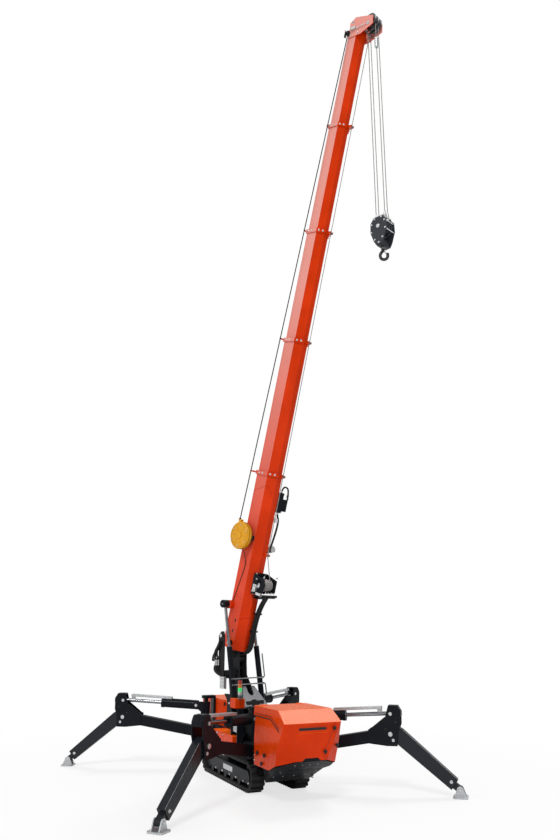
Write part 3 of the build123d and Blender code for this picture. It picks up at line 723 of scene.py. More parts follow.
box_y, rear_y, rear_seam_z = 0.398, 0.165, 0.885
box_bolts = [(x, z) for x in (-0.560, -0.100) for z in (0.455, 0.565)]
box_seam = [(-0.545, 0.440), (-0.115, 0.440), (-0.115, 0.585), (-0.545, 0.585), (-0.545, 0.440)]
for side, label in ((1, "left"), (-1, "right")):
    fittings = bmesh.new()
    for x, z in box_bolts:
        bolt(fittings, beside(machine, x, box_y, z, side), 0.007)
    catch = beside(machine, -0.330, box_y, 0.572, side)
    cap(fittings, catch, 0.016, 0.004, 0.013, 0.007)
    bar(fittings, (-0.004, 0.004), (-0.030, 0.004), (0.004, 0.012), catch)
    piece(f"side_box_fittings_{label}", "chassis", zinc, fittings, 0.0008)
    for step, ends in enumerate(zip(box_seam, box_seam[1:])):
        line = [(x, side * box_y, z) for x, z in ends]
        tube(f"side_box_seam_{label}_{step}", "chassis", moulded_black, line, 0.0014)
    hinges = bmesh.new()
    for x in (-1.620, -1.150, -0.680):
        bolt(hinges, beside(machine, x, rear_y, 0.660, side), 0.008)
        leaf = beside(machine, x, rear_y, 0.900, side)
        bar(hinges, (-0.035, 0.035), (-0.020, 0.020), (0, 0.004), leaf)
        knuckle = leaf @ Matrix.Translation((-0.035, 0.020, 0.006)) @ Matrix.Rotation(math.pi / 2, 4, "Y")
        rod(hinges, 0.007, 0, 0.070, knuckle, 14)
    piece(f"rear_cover_hinges_{label}", "chassis", black_enamel, hinges, 0.0006)
    line = [(x, side * rear_y, rear_seam_z) for x in (-1.660, -0.600)]
    tube(f"rear_cover_seam_{label}", "chassis", moulded_black, line, seam_radius)
locker_floor_z, locker_top_z = 0.425, 0.590
locker = bmesh.new()
bar(locker, (0.000, 0.270), (-0.400, -0.200), (locker_floor_z, locker_top_z), machine)
piece("low_locker", "chassis", orange_enamel, locker, 0.006)

# Valve bank
# A small orange hood on black stand plates, over a row of five zinc valves with their levers.

valve_hood_z = (0.940, 1.060)
valve_plan = [(0.165, -0.400), (0.360, -0.400), (0.360, -0.262), (0.165, -0.353)]
valve_top = bmesh.new()
plate(valve_top, valve_plan, *valve_hood_z, machine)
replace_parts(piece("valve_hood", "chassis", orange_enamel, valve_top, 0.004), "valve_cover")
stand_top_z = valve_hood_z[0] + 0.001
stand = bmesh.new()
bar(stand, (0.150, 0.420), (-0.300, -0.235), (locker_floor_z, stand_top_z), machine)
bar(stand, (0.400, 0.420), (-0.392, -0.235), (locker_floor_z, stand_top_z), machine)
bar(stand, (0.160, 0.180), (-0.385, -0.300), (locker_top_z, stand_top_z), machine)
piece("valve_stand", "chassis", black_enamel, stand, 0.003)
spool_pitch, spool_width, spool_y = 0.040, 0.034, -0.335
spool_lever = [(0, 0.760), (0.011, 0.760), (0.011, 0.800), (0.004, 0.802), (0.004, 0.850), (0.009, 0.852),
               (0.009, 0.872), (0, 0.872)]
spools = bmesh.new()
for order in range(5):
    x0 = 0.195 + spool_pitch * order
    bar(spools, (x0, x0 + spool_width), (-0.365, -0.300), (0.640, 0.760), machine)
    turned(spools, spool_lever, machine @ Matrix.Translation((x0 + spool_width / 2, spool_y, 0)), 12)
piece("valve_spools", "chassis", zinc, spools, 0.002)

# Stack light
# Moulded lens tiers on a dark socket: clear, green, amber and red from the bottom, with the green one lit.

lens, wire = new_finish("stack_lens", {"Roughness": 0.25, "Coat Weight": 0.4, "Emission Strength": 0.35})
place = surface_place(wire)
height = wire.node("ShaderNodeSeparateXYZ", {}, {0: place}, "Z")
tier = height.between(1.110, 1.300)
tiers = [(0.0, (0.45, 0.46, 0.46, 1)), (0.25, (0.0, 0.55, 0.10, 1)),
         (0.5, (0.55, 0.16, 0.0, 1)), (0.75, (0.33, 0.005, 0.006, 1))]
tint = wire.node("ShaderNodeValToRGB", {"stops": tiers}, {0: tier})
tint.socket.node.color_ramp.interpolation = "CONSTANT"
height.between(1.112, 1.110).tint(tint, (0.05, 0.05, 0.052, 1)).feed("Base Color")
lit = tier.between(0.24, 0.26) * tier.between(0.51, 0.49)
lit.tint((0, 0, 0, 1), (0.0, 0.9, 0.18, 1)).feed("Emission Color")
relief(wire, wire.node("ShaderNodeTexWave", {"bands_direction": "Z"}, {"Vector": place, "Scale": 60}), 0.0006)
dress(lens, "stack_light")

# Slewing ring and turret
# A toothless bearing ring in oiled steel, bolted to the chassis and to the turret's round deck.
# On the deck stands a block with a narrow mast of two plates and a hose arm, welded, in charcoal enamel.

oiled_steel = bright_metal("oiled_steel", (0.10, 0.10, 0.11, 1), (0.22, 0.22, 0.23, 1), rough=0.35, spread=0.2)
charcoal_enamel = enamel("charcoal_enamel", (0.012, 0.0125, 0.014), (0.10, 0.10, 0.105, 1),
                         gloss=0.4, peel=0.0005, shine=0.15, coat=0.03)
dress(oiled_steel, "slew_ring")
heading = machine @ Matrix.Rotation(math.radians(22), 4, "Z")
in_plane = heading @ Matrix.Rotation(math.pi / 2, 4, "X")
pivot_x, pivot_z = -0.300, 1.780
lift_x, lift_z, lift_pin_reach = -0.080, 0.960, 0.314
deck_radius, deck_low_z, deck_z = 0.280, 0.6603, 0.703
cheek_inner, cheek_outer = 0.165, 0.190
mast_inner, mast_outer = 0.060, 0.082
hose_arm_inner, hose_arm_outer = 0.326, 0.342
hose_pin_x, hose_pin_z = -0.300, 1.875


def twin(mesh, outline, inner, outer, place):
    """Adds a pair of plates, one on each side of the place's plane."""
    plate(mesh, outline, inner, outer, place)
    plate(mesh, outline, -outer, -inner, place)


mast = bmesh.new()
deck = [(0, deck_low_z), (deck_radius, deck_low_z), (deck_radius, deck_z - 0.003),
        (deck_radius - 0.003, deck_z), (0, deck_z)]
turned(mast, deck, heading, 64)
bar(mast, (-0.330, 0.060), (-cheek_inner, cheek_inner), (0.700, 1.000), heading)
cheek = [(-0.330, 0.702), (0.060, 0.702), (0.060, 0.850), (0, 1.020), (-0.040, 1.080), (-0.390, 1.080),
         (-0.330, 1.000)]
twin(mast, cheek, cheek_inner, cheek_outer, in_plane)
upper = [(0, 1.000), (-0.105, 1.180), (-0.205, 1.330), (-0.215, 1.500), (-0.212, pivot_z),
         *arc(pivot_x, pivot_z, 0.088, 30, 180, 5), (-0.388, 1.500), (-0.425, 1.310), (-0.380, 1.000)]
twin(mast, upper, mast_inner, mast_outer, in_plane)
bar(mast, (-0.385, -0.350), (-mast_outer, mast_outer), (1.000, 1.520), heading)
for x, z, radius, reach, sides in ((-0.300, 1.600, 0.030, 0.090, 24), (-0.310, 1.420, 0.030, 0.090, 24),
                                   (pivot_x, pivot_z, 0.030, 0.205, 32),
                                   (lift_x, lift_z, 0.022, lift_pin_reach, 32)):
    rod(mast, radius, -reach, reach, in_plane @ Matrix.Translation((x, z, 0)), sides)
hose_arm = [(-0.360, 1.330), (-0.245, 1.330), (-0.240, 1.855), (-0.260, 1.934), (-0.310, 1.934),
            (-0.365, 1.875), (-0.360, 1.648)]
plate(mast, hose_arm, hose_arm_inner, hose_arm_outer, in_plane)
bar(mast, (-0.360, -0.245), (-hose_arm_inner, -mast_outer), (1.330, 1.400), heading)
bar(mast, (-0.345, -0.300), (-hose_arm_inner, -mast_outer), (1.290, 1.330), heading)
hose_pin_place = in_plane @ Matrix.Translation((hose_pin_x, hose_pin_z, 0))
rod(mast, 0.020, hose_arm_inner, hose_arm_inner + 0.032, hose_pin_place, 24)
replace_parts(piece("turret_mast", "turret", charcoal_enamel, mast, 0.003), "turret_frame")

deck_bolts, deck_bolt_radius, deck_bolt_size = 28, 0.258, 0.009
bolts = bmesh.new()
for x, y in arc(0, 0, deck_bolt_radius, 180 / deck_bolts, 360 - 180 / deck_bolts, deck_bolts - 1):
    if abs(y) > 0.205 or x > 0.085:
        bolt(bolts, heading @ Matrix.Translation((x, y, 0.702)), deck_bolt_size)
piece("turret_deck_bolts", "turret", zinc, bolts)
cheek_bolts = [(-0.280, 0.760), (-0.020, 0.760), (-0.280, 0.960), (-0.070, 0.960)]
fittings = bmesh.new()
for side in (1, -1):
    pivot = beside(heading, pivot_x, cheek_outer + 0.015, pivot_z, side)
    cap(fittings, pivot, 0.034, 0.006, 0.030, 0.010, 32)
    for x, y in arc(0, 0, 0.018, 0, 240, 2):
        bolt(fittings, pivot @ Matrix.Translation((x, y, 0.010)), 0.005)
    for x, z in cheek_bolts:
        bolt(fittings, beside(heading, x, cheek_outer, z, side), 0.009)
hose_pin = beside(heading, hose_pin_x, hose_arm_inner + 0.032, hose_pin_z, -1)
cap(fittings, hose_pin, 0.024, 0.004, 0.016, 0.009, 28)
bolt(fittings, hose_pin @ Matrix.Translation((0, 0, 0.009)), 0.007)
piece("turret_pins", "turret", zinc, fittings)

# A-shaped brace on the mast's front
# One flame-cut plate, round above its bar and tapered below it, sprayed light grey.

brace_grey = enamel("brace_grey", (0.30, 0.31, 0.325), (0.45, 0.35, 0.36, 1),
                    gloss=0.4, peel=0.0005, shine=0.2, coat=0.03)
brace_foot = (0.050, 0, 0.930)
brace_lean = math.atan2(0.150, 0.250)
brace_top, brace_heel, round_cut = 0.290, -0.010, 0.056
brace_outline = [(0.240, brace_heel), (0.108, brace_top), (round_cut, brace_top),
                 *arc(0, 0.205, round_cut, 0, -180, 9), (-round_cut, brace_top), (-0.108, brace_top),
                 (-0.240, brace_heel), (-0.075, brace_heel), (-0.048, 0.085), (0.048, 0.085),
                 (0.075, brace_heel)]
brace = bmesh.new()
crosswise = Matrix.Rotation(math.pi / 2, 4, "Z") @ Matrix.Rotation(math.pi / 2, 4, "X")
leaning = heading @ Matrix.Translation(brace_foot) @ Matrix.Rotation(-brace_lean, 4, "Y") @ crosswise
plate(brace, brace_outline, -0.004, 0.020, leaning)
piece("turret_brace", "turret", brace_grey, brace, 0.003)

# Hose run on the turret's hose arm
# Rubber hoses loop off the arm's edge, through zinc unions, to a bank of pale alloy valves.

rubber_hose, wire = new_finish("rubber_hose", {"Specular IOR Level": 0.3})
place = surface_place(wire)
cloud = grain(wire, place, 60).between(0.3, 0.7)
cloud.tint((0.006, 0.006, 0.0065, 1), (0.014, 0.014, 0.015, 1)).feed("Base Color")
(0.38 + 0.2 * grain(wire, place, 80)).feed("Roughness")
braid = wire.node("ShaderNodeTexWave", {"bands_direction": "DIAGONAL"}, {"Vector": place, "Scale": 140})
relief(wire, braid, 0.0006)

pale_alloy = bright_metal("pale_alloy", (0.50, 0.51, 0.52, 1), (0.80, 0.81, 0.81, 1), rough=0.35, spread=0.2)
union_steps = [(0, 0), (0.013, 0), (0.013, 0.022), (0.009, 0.024), (0.009, 0.050), (0.013, 0.052),
               (0.013, 0.074), (0, 0.076)]
union_z = 1.470
unions = bmesh.new()
for order in range(4):
    y = -0.352 - 0.026 * (order % 2)
    back = -0.372 - 0.018 * order
    drop = 0.030 * order
    union_x = -0.345 - 0.014 * order
    upper_route = [(-0.300, y, 1.800), (-0.335, y, 1.745 - drop / 2), (back, y, 1.700 - drop),
                   (back - 0.018, y, 1.630 - drop), (back, y, 1.580 - drop / 2), (union_x, y, 1.545)]
    tube(f"arm_hose_{order}", "turret", rubber_hose, upper_route, 0.0150, heading)
    turned(unions, union_steps, heading @ facing((union_x, y, union_z), (0, 0, 1), (1, 0, 0)), 6)
    lower_route = [(union_x, y, union_z + 0.002), (-0.360 - 0.016 * order, y, 1.440),
                   (union_x - 0.007, y, 1.390), (-0.318 - 0.006 * order, y + 0.012, 1.350),
                   (-0.290 - 0.004 * order, -0.335 + 0.006 * order, 1.325)]
    tube(f"valve_hose_{order}", "turret", rubber_hose, lower_route, 0.0130, heading)
piece("arm_hose_unions", "turret", zinc, unions)

valve_face_y = 0.348
valves = bmesh.new()
for order in range(3):
    x0 = -0.316 + 0.030 * order
    bar(valves, (x0, x0 + 0.026), (-valve_face_y, -0.300), (1.175, 1.320), heading)
    for z in (1.200, 1.250, 1.295):
        cap(valves, beside(heading, x0 + 0.013, valve_face_y, z, -1), 0.010, 0.006, 0.006, 0.008, 6)
bar(valves, (-0.322, -0.225), (-0.340, -0.300), (1.158, 1.175), heading)
piece("arm_valves", "turret", pale_alloy, valves, 0.002)
valve_plate = bmesh.new()
bar(valve_plate, (-0.318, -0.230), (-0.308, -0.296), (1.165, 1.345), heading)
piece("arm_valve_plate", "turret", charcoal_enamel, valve_plate, 0.002)

# Lift cylinders
# Barrels in black enamel and hard-chromed rods with black eyes, on pins held by zinc keeper plates.
# Two chromed oil pipes cross the barrels in clamped saddles and bend along the left one, one up and one down.

lift_rise, lift_run = 1.3601, -0.2404
lift_length = math.hypot(lift_rise, lift_run)
lift_lean = math.atan2(lift_rise, lift_run)
lift_frame = heading @ Matrix.Translation((lift_x, 0, lift_z)) @ Matrix.Rotation(-lift_lean, 4, "Y")
dress(black_enamel, "lift_barrels")


def chromed(name):
    """Hard chrome: even and bright, with faint grinding rings and a thin oil film."""
    finish, wire = new_finish(name, {"Metallic": 1.0})
    place = surface_place(wire)
    film = grain(wire, place, 14, 4)
    film.between(0.3, 0.75).tint((0.25, 0.255, 0.27, 1), (0.38, 0.385, 0.40, 1)).feed("Base Color")
    (0.12 + 0.14 * film).feed("Roughness")
    relief(wire, grain(wire, place, 800, 1), 0.00008)
    return finish


hard_chrome = chromed("hard_chrome")
rod_chrome = chromed("lift_rod_chrome")
wire = Wire(rod_chrome.node_tree)
height = wire.node("ShaderNodeSeparateXYZ", {}, {0: surface_place(wire)}, "Z")
eye_mask = height.between(2.272, 2.276)
repaint(rod_chrome, eye_mask, (0.012, 0.013, 0.015, 1))
eye_mask.between(1.0, 0.0).feed("Metallic")
dress(rod_chrome, "lift_rods")

barrel_y, saddle_half_width = 0.270, 0.024
saddle_places = (0.250, 0.330)
gland_steps = [(0.024, 0), (0.040, 0), (0.040, 0.008), (0.036, 0.012), (0.024, 0.012)]
mouth_steps = [(0.0085, -0.030), (0.016, -0.030), (0.016, -0.006), (0.012, -0.003), (0.012, 0.010), (0, 0.010)]
foot_keepers = bmesh.new()
rod_keepers = bmesh.new()
saddles = bmesh.new()
glands = bmesh.new()
for side in (1, -1):
    foot = beside(lift_frame, 0, lift_pin_reach, 0, side)
    cap(foot_keepers, foot, 0.026, 0.004, 0.022, 0.007, 28)
    bolt(foot_keepers, foot @ Matrix.Translation((0, 0, 0.007)), 0.007)
    tip = beside(lift_frame, lift_length, 0.313, 0, side)
    cap(rod_keepers, tip, 0.030, 0.004, 0.026, 0.007, 32)
    bolt(rod_keepers, tip @ Matrix.Translation((0, 0, 0.007)), 0.008)
    y = side * barrel_y
    for s in saddle_places:
        saddle_sides = (y - saddle_half_width, y + saddle_half_width)
        bar(saddles, (s - 0.014, s + 0.014), saddle_sides, (-0.060, -0.034), lift_frame)
        for offset in (0.015, -0.015):
            top = lift_frame @ facing((s, y, -0.060), (0, 0, -1), (1, 0, 0))
            bolt(saddles, top @ Matrix.Translation((offset, 0, 0)), 0.005)
    turned(glands, gland_steps, lift_frame @ facing((0.769, y, 0), (1, 0, 0), (0, 0, 1)), 36)
for s in saddle_places:
    turned(glands, mouth_steps, beside(lift_frame, s, 0.312, -0.049, -1), 6)
piece("lift_foot_keepers", "lift_barrels", zinc, foot_keepers)
piece("lift_rod_keepers", "lift_rods", zinc, rod_keepers)
piece("pipe_saddles", "lift_barrels", black_enamel, saddles, 0.0012)
piece("lift_gland_rings", "lift_barrels", oiled_steel, glands)


def solid_run(name, finish, points, radius, place):
    """A round run made into a mesh, so that it can stand for a CAD node or bend between two bodies."""
    curve = tube(f"{name}_run", None, finish, points, radius, place)
    bpy.context.view_layer.update()
    data = bpy.data.meshes.new_from_object(curve.evaluated_get(bpy.context.evaluated_depsgraph_get()))
    data.name = name
    bpy.data.objects.remove(curve)
    made = bpy.data.objects.new(name, data)
    bpy.context.scene.collection.objects.link(made)
    return made


pipe_radius, pipe_z, pipe_bend = 0.0095, -0.062, 0.020
pipes = {}
for label, s, reach in (("low", saddle_places[0], -0.150), ("high", saddle_places[1], 0.330)):
    bend = math.copysign(pipe_bend, reach)
    route = [(s, -0.310), (s, -0.100), (s, 0.100), (s, 0.280), (s + bend / 4, 0.305), (s + bend, 0.312),
             (s + 2 * bend, 0.313), (s + reach, 0.313)]
    guides = [(along, y, pipe_z) for along, y in route]
    pipes[label] = solid_run(f"oil_pipe_{label}", hard_chrome, guides, pipe_radius, lift_frame)
    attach(pipes[label], "lift_barrels")
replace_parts(pipes["low"], "guard_rails")

# Boom sections
# Folded and welded high-strength plate in orange enamel, with painted light: its right faces are painted paler
# high up and its left keel faces a brighter orange; a collar ends each section.
# Bolts hold the collars' slide pads; weld beads show along the doubler plates of the base and its foot.

boom_frame = heading @ Matrix.Translation((pivot_x, 0, pivot_z)) @ Matrix.Rotation(-math.radians(74.5), 4, "Y")
keel_normal = Vector((0, 0.717, -0.697))
boom_enamel = enamel("boom_enamel", (0.640, 0.034, 0.0), (0.40, 0.07, 0.02, 1),
                     gloss=0.26, peel=0.0003, shine=0.05, coat=0.10)
wire = Wire(boom_enamel.node_tree)
surface_normal = wire.node("ShaderNodeTexCoord", output="Normal")
height = wire.node("ShaderNodeSeparateXYZ", {}, {0: surface_place(wire)}, "Z")
# Painted light: the right faces are painted paler towards the head and the left keel faces a brighter orange,
# for how light falls on them.
painted_light_faces = [((0, -1, 0), 0.12 + 0.78 * height.between(3.2, 7.0), (0.78, 0.33, 0.28, 1)),
               (keel_normal, 0.8, (0.95, 0.165, 0.03, 1))]
for outward, strength, colour in painted_light_faces:
    sockets = {0: surface_normal, 1: boom_frame.to_3x3() @ Vector(outward)}
    alike = wire.node("ShaderNodeVectorMath", {"operation": "DOT_PRODUCT"}, sockets, "Value")
    repaint(boom_enamel, alike.between(0.80, 0.95) * strength, colour)
boom_bodies = ["boom_base", "boom_section_2", "boom_section_3", "boom_section_4", "boom_section_5"]
dress(boom_enamel, *boom_bodies)
collars = [2.527, 4.592, 6.347, 8.103]
collar_half_length, collar_proud = 0.030, 0.016
boom_half_width, boom_half_height, boom_knuckle, boom_floor = 0.155, 0.165, -0.060, 0.053


def on_boom(s, y, z, normal):
    """Place on a face of the boom, by the way along it, the offset to its left and the height over its axis."""
    return boom_frame @ facing((s, y, z), normal, (1, 0, 0))


def boom_side(s, y, z, side):
    """Place on a face of the boom that looks to its left or its right."""
    return on_boom(s, side * y, z, (0, side, 0))


def boom_outline(order, proud):
    """Half-width, top, knuckle height, floor half-width and floor height of a section, or of its collar."""
    grow = proud - 0.010 * order
    return (boom_half_width + grow, boom_half_height + grow, boom_knuckle - 0.36 * grow,
            boom_floor + 0.41 * grow, -boom_half_height - grow)


def keel_point(outline, share, side):
    """Offset and height on the slanted keel, from the floor, share 0, to the knuckle, share 1."""
    wide, top, knuckle, floor_half, floor_z = outline
    return side * (floor_half + share * (wide - floor_half)), floor_z + share * (knuckle - floor_z)


collar_bolt_size = 0.009
for order, s in enumerate(collars):
    outline = boom_outline(order, collar_proud)
    wide, top = outline[:2]
    middle = s - collar_half_length
    bolts = bmesh.new()
    for side in (1, -1):
        for z in (0.105, 0.035):
            bolt(bolts, boom_side(middle, wide, z, side), collar_bolt_size)
        for share in (0.28, 0.72):
            y, z = keel_point(outline, share, side)
            bolt(bolts, on_boom(middle, y, z, (0, side * keel_normal.y, keel_normal.z)), collar_bolt_size)
        bolt(bolts, on_boom(middle, side * 0.070, top, (0, 0, 1)), collar_bolt_size)
    piece(f"collar_bolts_{order + 1}", boom_bodies[order], zinc, bolts)

weld_bead = enamel("weld_bead", (0.42, 0.018, 0.0), (0.35, 0.07, 0.03, 1),
                   gloss=0.35, peel=0.0012, shine=0.1, coat=0.05)
base_outline = boom_outline(0, 0.0)
wide, top, knuckle = base_outline[:3]
side_welds = [("doubler_weld", [(2.215, top - 0.003), (2.260, 0.050), (2.310, knuckle + 0.004)], 0.0028),
              ("cheek_weld", [(0.700, 0.140), (0.660, 0.060), (0.630, knuckle + 0.004)], 0.0026)]
keel_route = [(2.310, 0.985), (2.330, 0.80), (2.275, 0.55), (2.225, 0.30), (2.220, 0.02)]
keel_welds = [("keel_weld", keel_route, 0.0028),
              ("heel_weld", [(0.345, 0.985), (0.365, 0.7), (0.385, 0.3), (0.390, 0.02)], 0.0026)]
washer_steps = [(0.0315, 0), (0.060, 0), (0.060, 0.004), (0.057, 0.006), (0.034, 0.006), (0.0315, 0.004)]
for side, label in ((1, "left"), (-1, "right")):
    for name, route, radius in side_welds:
        guides = [(s, side * wide, z) for s, z in route]
        tube(f"{name}_{label}", "boom_base", weld_bead, guides, radius, boom_frame)
    for name, route, radius in keel_welds:
        guides = [(s, *keel_point(base_outline, share, side)) for s, share in route]
        tube(f"{name}_{label}", "boom_base", weld_bead, guides, radius, boom_frame)
    washer = bmesh.new()
    turned(washer, washer_steps, boom_side(0, wide, 0, side), 40)
    piece(f"pivot_washer_{label}", "boom_base", orange_enamel, washer)

# Boom foot
# Two slots on each side of the foot, drawn as black plates that are painted shade for their dark insides, and
# black caps over the lift rods' eyes on its bosses.

slot_radius, slot_straight = 0.012, 0.014
foot_slots = [(0.163, -0.020), (0.316, -0.004)]
lift_eye_s, lift_eye_y, lift_eye_z = 0.515, 0.225, 0.164
eye_cap = [(0, 0), (0.052, 0), (0.056, 0.006), (0.056, 0.096), (0.050, 0.104), (0, 0.104)]
slots = bmesh.new()
caps = bmesh.new()
for side in (1, -1):
    for s, z in foot_slots:
        outline = [(y - side * z, x + s) for x, y in long_hole(slot_straight, slot_radius, 6)]
        plate(slots, outline, -0.004, 0.0008, boom_side(0, boom_half_width, 0, side))
    turned(caps, eye_cap, boom_side(lift_eye_s, lift_eye_y, lift_eye_z, side), 36)
piece("boom_foot_slots", "boom_base", moulded_black, slots)
piece("lift_eye_caps", "boom_base", black_enamel, caps)

# Hoist rope along the boom
# Steel wire rope, drawn tight from the winch over a guide roller on each collar to the head's wheel.
# Each roller turns on a bolt between two orange lugs under its collar.

wire_rope, wire = new_finish("wire_rope", {"Metallic": 0.7, "Specular IOR Level": 0.4})
place = surface_place(wire)
sockets = {"Vector": place, "Scale": 55, "Distortion": 0.6}
lay = wire.node("ShaderNodeTexWave", {"bands_direction": "DIAGONAL"}, sockets)
lay.tint((0.17, 0.165, 0.155, 1), (0.50, 0.49, 0.47, 1)).feed("Base Color")
(0.38 + 0.2 * grain(wire, place, 60)).feed("Roughness")
relief(wire, lay, 0.0012)


def strand(name, finish, ends, radius, bodies, place):
    """A tight rope or cable between two points: on one body, or stretched between two that slide apart."""
    start, end = Vector(ends[0]), Vector(ends[1])
    mesh = bmesh.new()
    rod(mesh, radius, 0, (end - start).length, place @ facing(start, end - start, (0, 1, 0.3)), 10)
    if len(bodies) == 1:
        piece(name, bodies[0], finish, mesh)
    else:
        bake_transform(piece(name, None, finish, mesh))


def boom_strands(name, finish, points, radius):
    """A rope or cable in runs from section to section, each stretched as the boom runs out."""
    for order, ends in enumerate(zip(points, points[1:])):
        bodies = ["boom_base"] if order == 0 else boom_bodies[order - 1:order + 1]
        strand(f"{name}_{order + 1}", finish, ends, radius, bodies, boom_frame)


rope_radius, rope_y, rope_z = 0.006, 0.035, -0.201
rope_guide_s = 1.320
rope_head = (9.720, rope_y, -0.195)
rope_winch = (0.925, rope_y, -0.368)
roller_steps = [(0, 0), (0.016, 0), (0.016, 0.012), (0.012, 0.016), (0.012, 0.028), (0.016, 0.032),
                (0.016, 0.044), (0, 0.044)]


def guide_roller(name, body, s, floor_z):
    """Grooved roller under the boom's floor, on a bolt between two lugs."""
    axle_z, lug_foot = rope_z - 0.012 + rope_radius, rope_z - 0.020
    lug = [(s - 0.024, floor_z + 0.001), (s + 0.024, floor_z + 0.001),
           (s + 0.016, lug_foot), (s - 0.016, lug_foot)]
    lugs = bmesh.new()
    for y in (rope_y - 0.030, rope_y + 0.022):
        plate(lugs, lug, -y - 0.008, -y, boom_frame @ Matrix.Rotation(math.pi / 2, 4, "X"))
    piece(f"{name}_lugs", body, orange_enamel, lugs, 0.001)
    wheel = bmesh.new()
    turned(wheel, roller_steps, boom_frame @ facing((s, rope_y - 0.022, axle_z), (0, 1, 0)), 28)
    for end in (1, -1):
        bolt(wheel, boom_frame @ facing((s, rope_y + end * 0.030, axle_z), (0, end, 0)), 0.006)
    piece(f"{name}_wheel", body, oiled_steel, wheel)


guide_roller("winch_guide", "boom_base", rope_guide_s, -boom_half_height)
rope_points = [(rope_guide_s, rope_y, rope_z)]
for order, s in enumerate(collars):
    middle = s - collar_half_length
    guide_roller(f"collar_guide_{order + 1}", boom_bodies[order], middle, boom_outline(order, collar_proud)[4])
    rope_points.append((middle, rope_y, rope_z))
boom_strands("hoist_run", wire_rope, rope_points + [rope_head], rope_radius)
strand("winch_run", wire_rope, (rope_winch, rope_points[0]), rope_radius, ["boom_base"], boom_frame)

# Winch
# A black plate frame bolted under the base section, with its oil motor on the left and valves on the right.
# The drum is wound with wire rope, laid coil by coil in two layers.

dress(black_enamel, "winch_frame", "winch_drum")
winch_s, winch_z, winch_frame_y, winch_motor_y = 0.900, -0.290, 0.130, 0.190
coil_pitch, coil_steps = 0.0125, 6
rope_layers = [(15, 0.0745, 0.0760, 0.0062, -0.0935), (6, 0.0790, 0.0820, 0.0060, -0.040)]
coil = bmesh.new()
for turns, core, radius, swell, start in rope_layers:
    wound = []
    for step in range(turns * coil_steps):
        ridge = math.sin(math.pi * (step % coil_steps) / coil_steps)
        wound.append((radius + swell * ridge, start + coil_pitch * step / coil_steps))
    steps = [(core, start)] + wound + [(core, wound[-1][1] + 0.002)]
    turned(coil, steps, on_boom(winch_s, 0, winch_z, (0, 1, 0)), 48)
piece("wound_rope", "winch_drum", wire_rope, coil)

frame_bolts = [(-0.130, 0.095), (0.130, 0.095), (-0.105, -0.095), (0.075, -0.050)]
hub_steps = [(0, 0), (0.040, 0), (0.040, 0.010), (0.034, 0.014), (0.020, 0.014), (0.020, 0.020), (0, 0.020)]
fittings = bmesh.new()
for side in (1, -1):
    wall = boom_side(winch_s, winch_frame_y, winch_z, side)
    for s, z in frame_bolts:
        bolt(fittings, wall @ Matrix.Translation((-side * z, s, 0)), 0.009)
    for s in (-0.140, 0.140):
        bolt(fittings, on_boom(winch_s + s, side * 0.095, -0.177, (0, 0, -1)), 0.010)
    for y in (0.085, 0.030):
        bolt(fittings, boom_frame @ facing((winch_s - 0.124, side * y, -0.420), (-1, 0, 0)), 0.008)
        bolt(fittings, on_boom(winch_s - 0.088, side * y, -0.420, (0, 0, -1)), 0.008)
turned(fittings, hub_steps, boom_side(winch_s, winch_frame_y, winch_z, -1), 32)
for x, y in arc(0, 0, 0.055, 45, 315, 3):
    bolt(fittings, boom_side(winch_s, winch_motor_y, winch_z, 1) @ Matrix.Translation((x, y, 0)), 0.007)
piece("winch_bolts", "boom_base", zinc, fittings)

valve_plug = [(0, 0), (0.014, 0), (0.014, 0.012), (0.009, 0.014), (0.009, 0.020), (0, 0.020)]
valves = bmesh.new()
bar(valves, (0.800, 0.905), (-0.172, -0.130), (-0.285, -0.225), boom_frame)
bar(valves, (0.765, 0.800), (-0.165, -0.135), (-0.395, -0.300), boom_frame)
for s in (0.825, 0.880):
    turned(valves, valve_plug, boom_side(s, 0.172, -0.255, -1), 6)
piece("winch_valves", "boom_base", pale_alloy, valves, 0.002)
guard = bmesh.new()
bar(guard, (0.905, 0.960), (-0.176, -0.130), (-0.300, -0.215), boom_frame)
bar(guard, (0.755, 0.788), (-0.155, 0.155), (-0.432, -0.420), boom_frame)
bar(guard, (0.742, 0.754), (-0.120, 0.120), (-0.432, -0.386), boom_frame)
for s in (0.700, 0.728):
    bar(guard, (s, s + 0.008), (-0.110, 0.110), (-0.300, -0.180), boom_frame)
piece("winch_guard", "boom_base", black_enamel, guard, 0.002)

# Oil hoses under the boom's foot
# Five rubber hoses drop from the winch along the boom's keel and curl under its foot to the turret.
# Each bends at the pivot, half on the boom and half on the turret; black clips hold them to the foot.

foot_hose_radius, foot_hose_pitch = 0.0115, 0.020
for order in range(5):
    shift = foot_hose_pitch * (order - 2)
    deep = 0.010 * (order % 2)
    boom_route = [(0.760, 0.060 + shift, -0.330), (0.640, 0.062 + shift, -0.262 - deep),
                  (0.450, 0.062 + shift, -0.205 - deep), (0.250, 0.060 + shift, -0.192 - deep),
                  (0.060, 0.055 + shift, -0.205 - deep)]
    turret_route = [(-0.130 - deep, 0.050 + shift, 1.665), (-0.200, 0.015 + shift, 1.612 - deep),
                    (-0.260, -0.060, 1.592 + 0.012 * order), (-0.300, -0.120, 1.590 + 0.014 * order),
                    (-0.330, -0.160, 1.600 + 0.016 * order)]
    guides = [boom_frame @ Vector(point) for point in boom_route]
    guides += [heading @ Vector(point) for point in turret_route]
    hose = solid_run(f"foot_hose_{order}", rubber_hose, guides, foot_hose_radius, Matrix.Identity(4))
    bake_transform(hose)
clip_y = (0.000, 0.124)
clips = bmesh.new()
